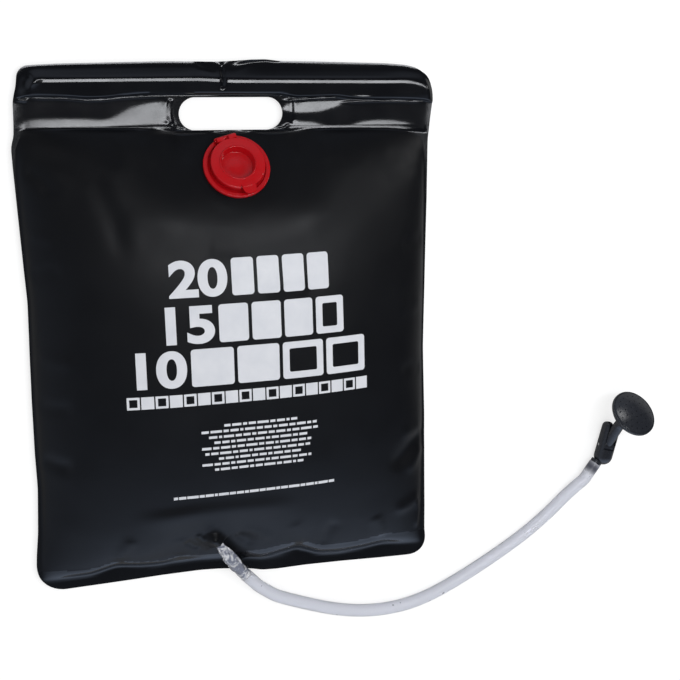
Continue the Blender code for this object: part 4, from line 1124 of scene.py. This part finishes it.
def build_films(front_finish, back_finish, pressed):
    # Returns the front film's bare sheet, which the print is laid on.
    front = film_sheet("front_film", lambda x, y: front_height(x, y) + front_folds(x, y))
    sheet = front.copy()
    sheet.data = front.data.copy()
    bpy.context.scene.collection.objects.link(sheet)
    back = film_sheet("back_film", back_height)
    for film in (front, back):
        thicken(film, FILM, 0)
        cut(film, hand_hole_cutter())
    cut(front, settle(rod("filler_tool", BORE, -0.004, 0.004, 96), FILLER_PLACE))
    line = smooth_route(SPOUT_ROUTE, 70)
    way_out = plug_along("spout_tool", line, lambda share, turn: sleeve_radius(share) + GAP)
    cut(front, way_out)
    for film, finish, node in ((front, front_finish, "front_panel"), (back, back_finish, "back_panel")):
        smooth_shade(film, 50)
        dress(film, "bag", finish, "film_black", node)
        press_welds(film, pressed)
    return sheet


# ---- Printed water gauge: generic level marks on the film ----

# How low and high the print's cutter reaches, its turn, and the part of the film that it meets
PRINT_LOW = 0.020
PRINT_HIGH = 0.090
PRINT_TURN = math.radians(1.2)
PRINT_AREA = (-0.125, 0.135, -0.170, 0.086)
NUMBER_STRETCH = 1.2
INK = 0.00006
INK_LIFT = 0.00003


def bar(left, right, low, high):
    return block("print_bar", (left / 1000, low / 1000, PRINT_LOW), (right / 1000, high / 1000, PRINT_HIGH))


def rounded(left, right, low, high, corner, over=0):
    # A block with rounded corners, its sizes in millimetres.
    outline = []
    for x, y, start in ((right - corner, high - corner, 0), (left + corner, high - corner, math.pi / 2),
                        (left + corner, low + corner, math.pi), (right - corner, low + corner, -math.pi / 2)):
        outline += arc((x / 1000, y / 1000), corner / 1000, start, start + math.pi / 2, 5)
    return plate("print_block", outline, PRINT_LOW - over, PRINT_HIGH + over)


def framed(left, right, low, high, corner, inset, inner_corner):
    solid = rounded(left, right, low, high, corner)
    window = rounded(left + inset, right - inset, low + inset, high - inset, inner_corner, 0.01)
    return cut(solid, window)


def number(text, left, low, cap_height):
    bpy.ops.object.select_all(action="DESELECT")
    bpy.ops.object.text_add()
    obj = bpy.context.object
    obj.data.body = text
    obj.data.size = 1.0
    obj.data.offset = 0.036
    obj.data.extrude = 0.1
    bpy.ops.object.convert(target="MESH")
    close_shell(obj)
    axes = list(zip(*obj.bound_box))
    lowest = Vector([min(axis) for axis in axes])
    width, height, depth = (max(axis) - min(axis) for axis in axes)
    scale = cap_height / 1000 / height
    stretch = (scale * NUMBER_STRETCH, scale, (PRINT_HIGH - PRINT_LOW) / depth, 1)
    place = Matrix.Translation((left / 1000, low / 1000, PRINT_LOW))
    settle(obj, place @ Matrix.Diagonal(stretch) @ Matrix.Translation(-lowest))
    return obj, width * scale * NUMBER_STRETCH * 1000


# Each mark: number, left end, right end, foot and height in millimetres, and filled quarters
GAUGE_MARKS = (
    ("20", -70, 84, 41, 35, 4),
    ("15", -75, 98, -2.5, 36, 3),
    ("10", -104, 120, -43.5, 36, 2),
)
# The scale bar: how many marks, first one's left end, pitch, length, foot and top
SCALE_BAR = (18, -114, 13.2, 11.9, -62, -50)
# Small print: its words' lengths, and how far each line starts and ends inside the widest one
NOTE_WORDS = (6, 9, 4, 7, 11, 5, 8, 3, 10, 6, 7, 4, 9)
NOTE_INSETS = ((22, 22), (0, 2), (7, 0), (12, 12), (0, 4), (3, 9), (16, 14), (0, 6), (12, 16))


def printed_words(left, right, foot, height, start, space):
    # A line of small print, as plain dashes of a word's length.
    dashes, x, k = [], left, start
    while x < right - 3:
        end = min(x + NOTE_WORDS[k % len(NOTE_WORDS)], right)
        dashes.append(bar(x, end, foot, foot + height))
        x, k = end + space, k + 1
    return dashes


def gauge_row(text, left, right, low, height, filled):
    # A number and the four quarters of its row: solid blocks where filled, else bold frames.
    figure, width = number(text, left, low, height)
    start, gap = left + width + 4.0, 3.4
    pitch = (right - start + gap) / 4
    pieces = [figure]
    for i in range(4):
        span = (start + i * pitch, start + (i + 1) * pitch - gap, low, low + height, 3.0)
        pieces.append(rounded(*span) if i < filled else framed(*span, 6.6, 1.6))
    return pieces


def build_print(sheet, finish):
    pieces = []
    for mark in GAUGE_MARKS:
        pieces += gauge_row(*mark)
    count, first, pitch, length, foot, top = SCALE_BAR
    for i in range(count):
        start = first + pitch * i
        span = (start, start + length, foot, top)
        pieces.append(bar(*span) if i % 2 else framed(*span, 0.5, 2.2, 0.3))
    for i, (inset_left, inset_right) in enumerate(NOTE_INSETS):
        pieces += printed_words(-46 + inset_left, 70 - inset_right, -85.0 - 5.5 * i, 2.5, 3 * i, 1.6)
    pieces += printed_words(-74, 87, -156, 2.8, 2, 0.9)
    tool = settle(joined(pieces), Matrix.Rotation(PRINT_TURN, 4, "Z"))
    sheet.name = "print_layer"
    lift_sheet(sheet, FILM / 2 + INK_LIFT)
    keep_print_area(sheet)
    thicken(sheet, INK, 1)
    combine(sheet, tool, "INTERSECT")
    smooth_shade(sheet, 30)
    dress(sheet, "bag", finish, "rod_white")


def lift_sheet(obj, height):
    mesh = obj.data
    count = len(mesh.vertices)
    places, normals = np.empty(count * 3), np.empty(count * 3)
    mesh.vertices.foreach_get("co", places)
    mesh.vertices.foreach_get("normal", normals)
    mesh.vertices.foreach_set("co", places + normals * height)
    mesh.update()


def keep_print_area(obj):
    left, right, low, high = PRINT_AREA
    bm = bmesh.new()
    bm.from_mesh(obj.data)
    middles = [(face, face.calc_center_median()) for face in bm.faces]
    away = [face for face, at in middles if not (left < at.x < right and low < at.y < high)]
    bmesh.ops.delete(bm, geom=away, context="FACES")
    bm.to_mesh(obj.data)
    bm.free()


# ---- Filler valve ----

RIM_INNER = 0.0275
FLANGE_RADIUS = 0.032
NECK_RADIUS = 0.022
LID_RADIUS = 0.026
HINGE_REACH = 0.029
HINGE_HEIGHT = 0.0058
KNUCKLE_RADIUS = 0.0022
KNUCKLE_LENGTH = 0.0034
EAR_LENGTH = 0.0080
LID_UNDERSIDE = 0.0081
LID_TOP = 0.0101
NECK_TOP = 0.0065
FLANGE_TOP = 0.0016
HINGE_LINE = (0, HINGE_REACH, HINGE_HEIGHT)
HINGE_BORE = 0.0013
TAB_HALF = 0.0065
TAB_REACH = 0.033
EASED = 0.00025


def along_x(obj, centre=(0, 0, 0)):
    return settle(obj, Matrix.Translation(centre) @ TURN_TO_X)


def hinge_bore():
    reach = KNUCKLE_LENGTH + EAR_LENGTH
    return along_x(rod("hinge_bore", HINGE_BORE, -reach, reach), HINGE_LINE)


def build_filler_base(finish):
    profile = [(BORE, NECK_TOP), (NECK_RADIUS, NECK_TOP), (NECK_RADIUS, FLANGE_TOP), (RIM_INNER, FLANGE_TOP)]
    profile += arc((RIM_INNER + 0.0009, 0.0023), 0.0009, math.pi, math.pi / 2, 5)
    profile += arc((FLANGE_RADIUS - 0.0012, 0.0020), 0.0012, math.pi / 2, 0, 6)
    profile += [(FLANGE_RADIUS, 0), (BORE, 0)]
    base = turned("filler_ring", profile, 128, closed=True)
    half = KNUCKLE_LENGTH / 2 - GAP
    post = block("post", (-half, HINGE_REACH - 0.0015, 0.0008), (half, HINGE_REACH + 0.0015, HINGE_HEIGHT))
    add(base, post)
    knuckle = rod("knuckle", KNUCKLE_RADIUS, -KNUCKLE_LENGTH / 2, KNUCKLE_LENGTH / 2)
    add(base, along_x(knuckle, HINGE_LINE))
    cut(base, hinge_bore())
    ease_edges(base, EASED)
    settle(base, FILLER_PLACE)
    dress(base, "bag", finish, "valve_red", "filler_base")


def lid_profile():
    # Plug cup with a moulded bead round its mouth, flat ring and turned-down skirt.
    profile = [(0, 0.0026), (0.0060, 0.0026), (0.0068, 0.0023), (0.0143, 0.0023)]
    profile += [(0.0148, 0.0026), (0.0160, LID_TOP - 0.0004)]
    profile += arc((0.0169, LID_TOP - 0.0001), 0.0008, math.pi, 0, 8)
    profile += arc((LID_RADIUS - 0.0012, LID_TOP - 0.0012), 0.0012, math.pi / 2, 0, 6)
    profile += [(LID_RADIUS, 0.0049), (LID_RADIUS - 0.0018, 0.0049), (LID_RADIUS - 0.0018, LID_UNDERSIDE)]
    profile += [(0.0173, LID_UNDERSIDE), (0.0161, 0.0008), (0, 0.0008)]
    return profile


def build_filler_lid(finish):
    lid = turned("filler_flap", lid_profile(), 128)
    half, root = TAB_HALF, LID_RADIUS - 0.0009
    tip = arc((0, -(TAB_REACH - half)), half, -math.pi, 0, 24)
    tab = plate("tab", [(half, half - root), (-half, half - root)] + tip, LID_UNDERSIDE + GAP, LID_TOP - GAP)
    add(lid, tab)
    half_ear = EAR_LENGTH / 2
    for side in (-1, 1):
        middle = side * (KNUCKLE_LENGTH / 2 + GAP + half_ear)
        low = (middle - half_ear + GAP, root, HINGE_HEIGHT + GAP)
        arm = block("arm", low, (middle + half_ear - GAP, HINGE_REACH, LID_TOP - GAP))
        add(lid, arm)
        knuckle = rod("knuckle", KNUCKLE_RADIUS, -half_ear, half_ear)
        add(lid, along_x(knuckle, (middle, HINGE_REACH, HINGE_HEIGHT)))
    cut(lid, hinge_bore())
    notch = [(-half, -0.030), (-half, -0.0215), (-half - 0.004, -0.030)]
    cut(lid, plate("notch", notch, 0, 0.02))
    ease_edges(lid, EASED)
    settle(lid, FILLER_PLACE)
    dress(lid, "lid", finish, "valve_red", "filler_lid")


def build_hinge_pin(finish):
    half = KNUCKLE_LENGTH / 2 + EAR_LENGTH + 2 * GAP
    head = [(0, half + 0.0008)] + arc((0.0012, half + 0.0002), 0.0006, math.pi / 2, 0, 4)
    foot = arc((0.0012, -half - 0.0002), 0.0006, 0, -math.pi / 2, 4) + [(0, -half - 0.0008)]
    shank = [(0.0018, half), (0.0010, half), (0.0010, -half), (0.0018, -half)]
    pin = along_x(turned("hinge_rivet", head + shank + foot, 32), HINGE_LINE)
    smooth_shade(pin)
    settle(pin, FILLER_PLACE)
    dress(pin, "bag", finish, "valve_red", "hinge_pin")


# ---- Outlet sleeve and joiner ----

def barb_steps(tip, foot, count=3):
    pitch = (tip - foot) / count
    points = [(JOINER_ROOT * 0.82, tip)]
    for i in range(1, count + 1):
        points += [(JOINER_CREST, tip - pitch * i), (JOINER_ROOT, tip - pitch * i)]
    return points


def sleeve_reach(share, turn):
    # Crumpled on its way over the bag's edge, drawn down on the joiner at its end.
    crease = 0.5 * math.sin(2 * turn + 17 * share) + 0.35 * math.sin(3 * turn - 29 * share + 1)
    wave = noise.noise(Vector((math.cos(turn) * 1.7, math.sin(turn) * 1.7, share * 11)))
    crumple = (0.0009 * crease + 0.0020 * wave) * smooth((share - 0.10) / 0.2)
    crumple = crumple * smooth((0.95 - share) / 0.25)
    drawn = 0.0008 * smooth((share - 0.72) / 0.16)
    return sleeve_radius(share) - 0.0002 + min(float(crumple), 0.0002) - float(drawn)


def build_spout(finish):
    sleeve = tube("outlet_sleeve", smooth_route(SPOUT_ROUTE, 90), sleeve_reach, SLEEVE_WALL, 48)
    dress(sleeve, "bag", finish, "clear_vinyl", "outlet_spout")


def build_joiner(finish):
    upper = barb_steps(COLLAR_HALF + JOINER_HALF, COLLAR_HALF)
    profile = [(JOINER_BORE, COLLAR_HALF + JOINER_HALF)] + upper
    profile += [(JOINER_COLLAR, COLLAR_HALF), (JOINER_COLLAR, -COLLAR_HALF)]
    profile += [(radius, -height) for radius, height in reversed(upper)]
    profile += [(JOINER_BORE, -COLLAR_HALF - JOINER_HALF)]
    joiner = turned("sleeve_joiner", profile, 64, closed=True)
    ease_edges(joiner, 0.0002)
    turn = spout_direction.to_track_quat("Z", "Y").to_matrix().to_4x4()
    settle(joiner, Matrix.Translation(joiner_middle) @ turn)
    dress(joiner, "bag", finish, "clear_vinyl", "hose_joiner")


# ---- Shower head ----

BODY_RADIUS = 0.010
BODY_FRONT = 0.0265
BODY_BACK = 0.0215
BODY_TIP_ROUND = 0.0060
SEAT_RADIUS = 0.0073
SLOT_HALF = 0.0064
HUB_RADIUS = 0.0070
HUB_HALF = 0.0061
STEM_RADIUS = 0.0058
STEM_BORE = 0.0032
PIN_HOLE = 0.0018
GROOVE_DEPTH = 0.0016
STEM_RUN = 0.027
STEM_BEND_RADIUS = 0.025
STEM_END = 0.008


def across_y(obj):
    return settle(obj, TURN_TO_Y)


def build_valve_body(finish):
    tip_centre = (BODY_RADIUS - BODY_TIP_ROUND, BODY_FRONT - BODY_TIP_ROUND)
    profile = [(0, BODY_FRONT)] + arc(tip_centre, BODY_TIP_ROUND, math.pi / 2, 0, 10)
    back_centre = (0, BODY_RADIUS - BODY_BACK)
    profile += arc(back_centre, BODY_RADIUS, 0, -math.pi / 2, 16)[:-1] + [(0, -BODY_BACK)]
    body = along_x(turned("tap_body", profile, 96))
    collar_foot, collar_top, collar_radius = INLET_COLLAR
    tip = collar_top + INLET_BARB
    spigot = [(0, tip)] + barb_steps(tip, collar_top)
    spigot += [(collar_radius, collar_top), (collar_radius, collar_foot), (0, collar_foot)]
    inlet_in_body = HEAD_PLACE.inverted() @ INLET_PLACE @ TURN_TO_X
    add(body, settle(turned("spigot", spigot, 64), inlet_in_body))
    top, front = BODY_RADIUS + 0.004, BODY_FRONT + 0.004
    seat = arc((0, 0), SEAT_RADIUS, math.radians(120), 3 * math.pi / 2, 32)
    outline = [(front, top), (seat[0][0], top)] + seat + [(front, -SEAT_RADIUS)]
    cut(body, across_y(plate("slot", outline, -SLOT_HALF, SLOT_HALF)))
    pocket = settle(rod("pocket", 0.0047, 0.005, 0.0107), Matrix.Rotation(-math.pi / 2, 4, "Y"))
    cut(body, pocket)
    passage = settle(rod("passage", JOINER_BORE, -0.004, tip + 0.004, 40), inlet_in_body)
    cut(body, passage)
    cut(body, across_y(rod("pin_hole", PIN_HOLE, -0.014, 0.014)))
    ease_edges(body, 0.0003, 3)
    settle(body, HEAD_PLACE)
    dress(body, "bag", finish, "head_black", "valve_body")


def stem_line():
    # The neck's own line, straight, bent up and straight again, and its last direction.
    points = [Vector((0, 0, 0)), Vector((STEM_RUN, 0, 0))]
    middle = (STEM_RUN, STEM_BEND_RADIUS)
    bend = arc(middle, STEM_BEND_RADIUS, -math.pi / 2, STEM_BEND - math.pi / 2, 10)
    points += [Vector((x, 0, z)) for x, z in bend[1:]]
    direction = Vector((math.cos(STEM_BEND), 0, math.sin(STEM_BEND)))
    return points + [points[-1] + direction * STEM_END], direction


def build_neck(finish):
    line, direction = stem_line()
    neck = plug_along("neck_stem", line, lambda share, turn: STEM_RADIUS)
    add(neck, across_y(rod("hub", HUB_RADIUS, -HUB_HALF, HUB_HALF, 96)))
    bore = [Vector((-0.011, 0, 0))] + line[1:-1] + [line[-1] + direction * 0.004]
    cut(neck, plug_along("bore", bore, lambda share, turn: STEM_BORE))
    cut(neck, across_y(rod("pin_hole", PIN_HOLE, -0.011, 0.011)))
    for side in (-1, 1):
        low = HUB_HALF - GROOVE_DEPTH
        ring = [(0.0034, 0.011), (0.0050, 0.011), (0.0050, low), (0.0034, low)]
        groove = turned("groove", ring, 48, closed=True)
        settle(groove, Matrix.Rotation(-side * math.pi / 2, 4, "X"))
        cut(neck, groove)
    ease_edges(neck, EASED)
    settle(neck, TILT_PLACE)
    dress(neck, "head", finish, "head_black", "neck")


ROSE_RADIUS = 0.0256
ROSE_TOP = 0.0148
HOLE_PITCH = 0.0064
HOLE_RADIUS = 0.00065


def rose_place():
    end = stem_line()[0][-1]
    return TILT_PLACE @ Matrix.Translation(end) @ Matrix.Rotation(math.pi / 2 - STEM_BEND, 4, "Y")


def build_rose_shell(finish):
    # A flared cone with a rolled rim, on a sleeve over the stem.
    sleeve_in, sleeve_out = 0.0061, 0.0077
    rim_foot = ROSE_TOP - 0.0036
    outside = [(sleeve_out + (ROSE_RADIUS - 0.0004 - sleeve_out) * (i / 8),
                -0.0016 + (rim_foot + 0.0016) * (i / 8) ** 1.7) for i in range(9)]
    profile = [(0.0240, ROSE_TOP)] + arc((ROSE_RADIUS - 0.0009, ROSE_TOP - 0.0009), 0.0009, math.pi / 2, 0, 5)
    profile += arc((ROSE_RADIUS - 0.0008, rim_foot + 0.0008), 0.0008, 0, -math.pi / 3, 3)
    profile += outside[::-1] + [(sleeve_out, -0.0070), (sleeve_in, -0.0070), (sleeve_in, GAP)]
    profile += [(r - 0.0016, z + 0.0016) for r, z in outside[2:-1]]
    profile += [(0.0222, rim_foot), (0.0222, 0.0120), (0.0240, 0.0120)]
    shell = turned("rose_cone", profile, 128, closed=True)
    smooth_shade(shell, 30)
    settle(shell, rose_place())
    dress(shell, "head", finish, "head_black", "rose_shell")


def build_rose_face(finish):
    # A domed plate, with holes in three rings around one in its middle.
    rim, dome, thick = 0.0237, 0.0040, 0.0014
    bend = (rim * rim + dome * dome) / (2 * dome)
    spread_angle = math.asin(rim / bend)
    outer = arc((0, ROSE_TOP + dome - bend), bend, math.pi / 2, math.pi / 2 - spread_angle, 14)
    inner = arc((0, ROSE_TOP - thick + dome - bend), bend, math.pi / 2 - spread_angle, math.pi / 2, 14)
    outer[0], inner[-1] = (0, outer[0][1]), (0, inner[-1][1])
    face = turned("rose_plate", outer + inner, 128)
    holes = []
    for ring in range(4):
        count = max(1, 6 * ring)
        for i in range(count):
            angle = math.tau * i / count
            place = (ring * HOLE_PITCH * math.cos(angle), ring * HOLE_PITCH * math.sin(angle), 0)
            holes.append(settle(rod("hole", HOLE_RADIUS, 0.004, 0.026, 12), Matrix.Translation(place)))
    cut(face, joined(holes))
    ease_edges(face, 0.00018, 2, 40)
    settle(face, rose_place())
    dress(face, "head", finish, "head_black", "rose_face")


def dress_node(name, finish):
    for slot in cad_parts[name].material_slots:
        slot.link = "OBJECT"
        slot.material = finish


add_camera()
light_studio()
red = make_finish("moulded_red")
black_plastic = make_finish("moulded_black")
# The clear sleeve's painted highlight and dark reflection blotches are set sharply apart.
clear_vinyl = make_finish("clear_vinyl", contrast=(0.44, 0.58))
# The hose is painted darker around the barb inside it: painted shade of the black barb seen through the milky
# wall.
milky_vinyl = make_finish("milky_vinyl", painted_shade=(BARB_MIDDLE, 0.0060, 0.0100, (0.045, 0.05, 0.085)))
blown_front = make_finish("blown_film", "film_front")
blown_rear = make_finish("blown_film", "film_rear")
build_hose(milky_vinyl)
film_copy = build_films(blown_front, blown_rear, make_finish("film_pressed"))
build_print(film_copy, make_finish("print_white"))
build_filler_base(red)
build_filler_lid(red)
build_hinge_pin(red)
build_spout(clear_vinyl)
build_joiner(milky_vinyl)
build_valve_body(black_plastic)
build_neck(black_plastic)
build_rose_shell(black_plastic)
build_rose_face(black_plastic)
rubber = make_finish("seal_rubber")
for seal in ("lid_seal", "valve_seal", "hub_seal_left", "hub_seal_right", "rose_seal"):
    dress_node(seal, rubber)
for half_rod in ("handle_rod_left", "handle_rod_right"):
    dress_node(half_rod, make_finish("rod_white"))
dress_node("outlet_plate", make_finish("blown_film", "film_plate"))
dress_node("pivot_pin", make_finish("pin_steel"))

bpy.context.scene.view_settings.view_transform = "Standard"
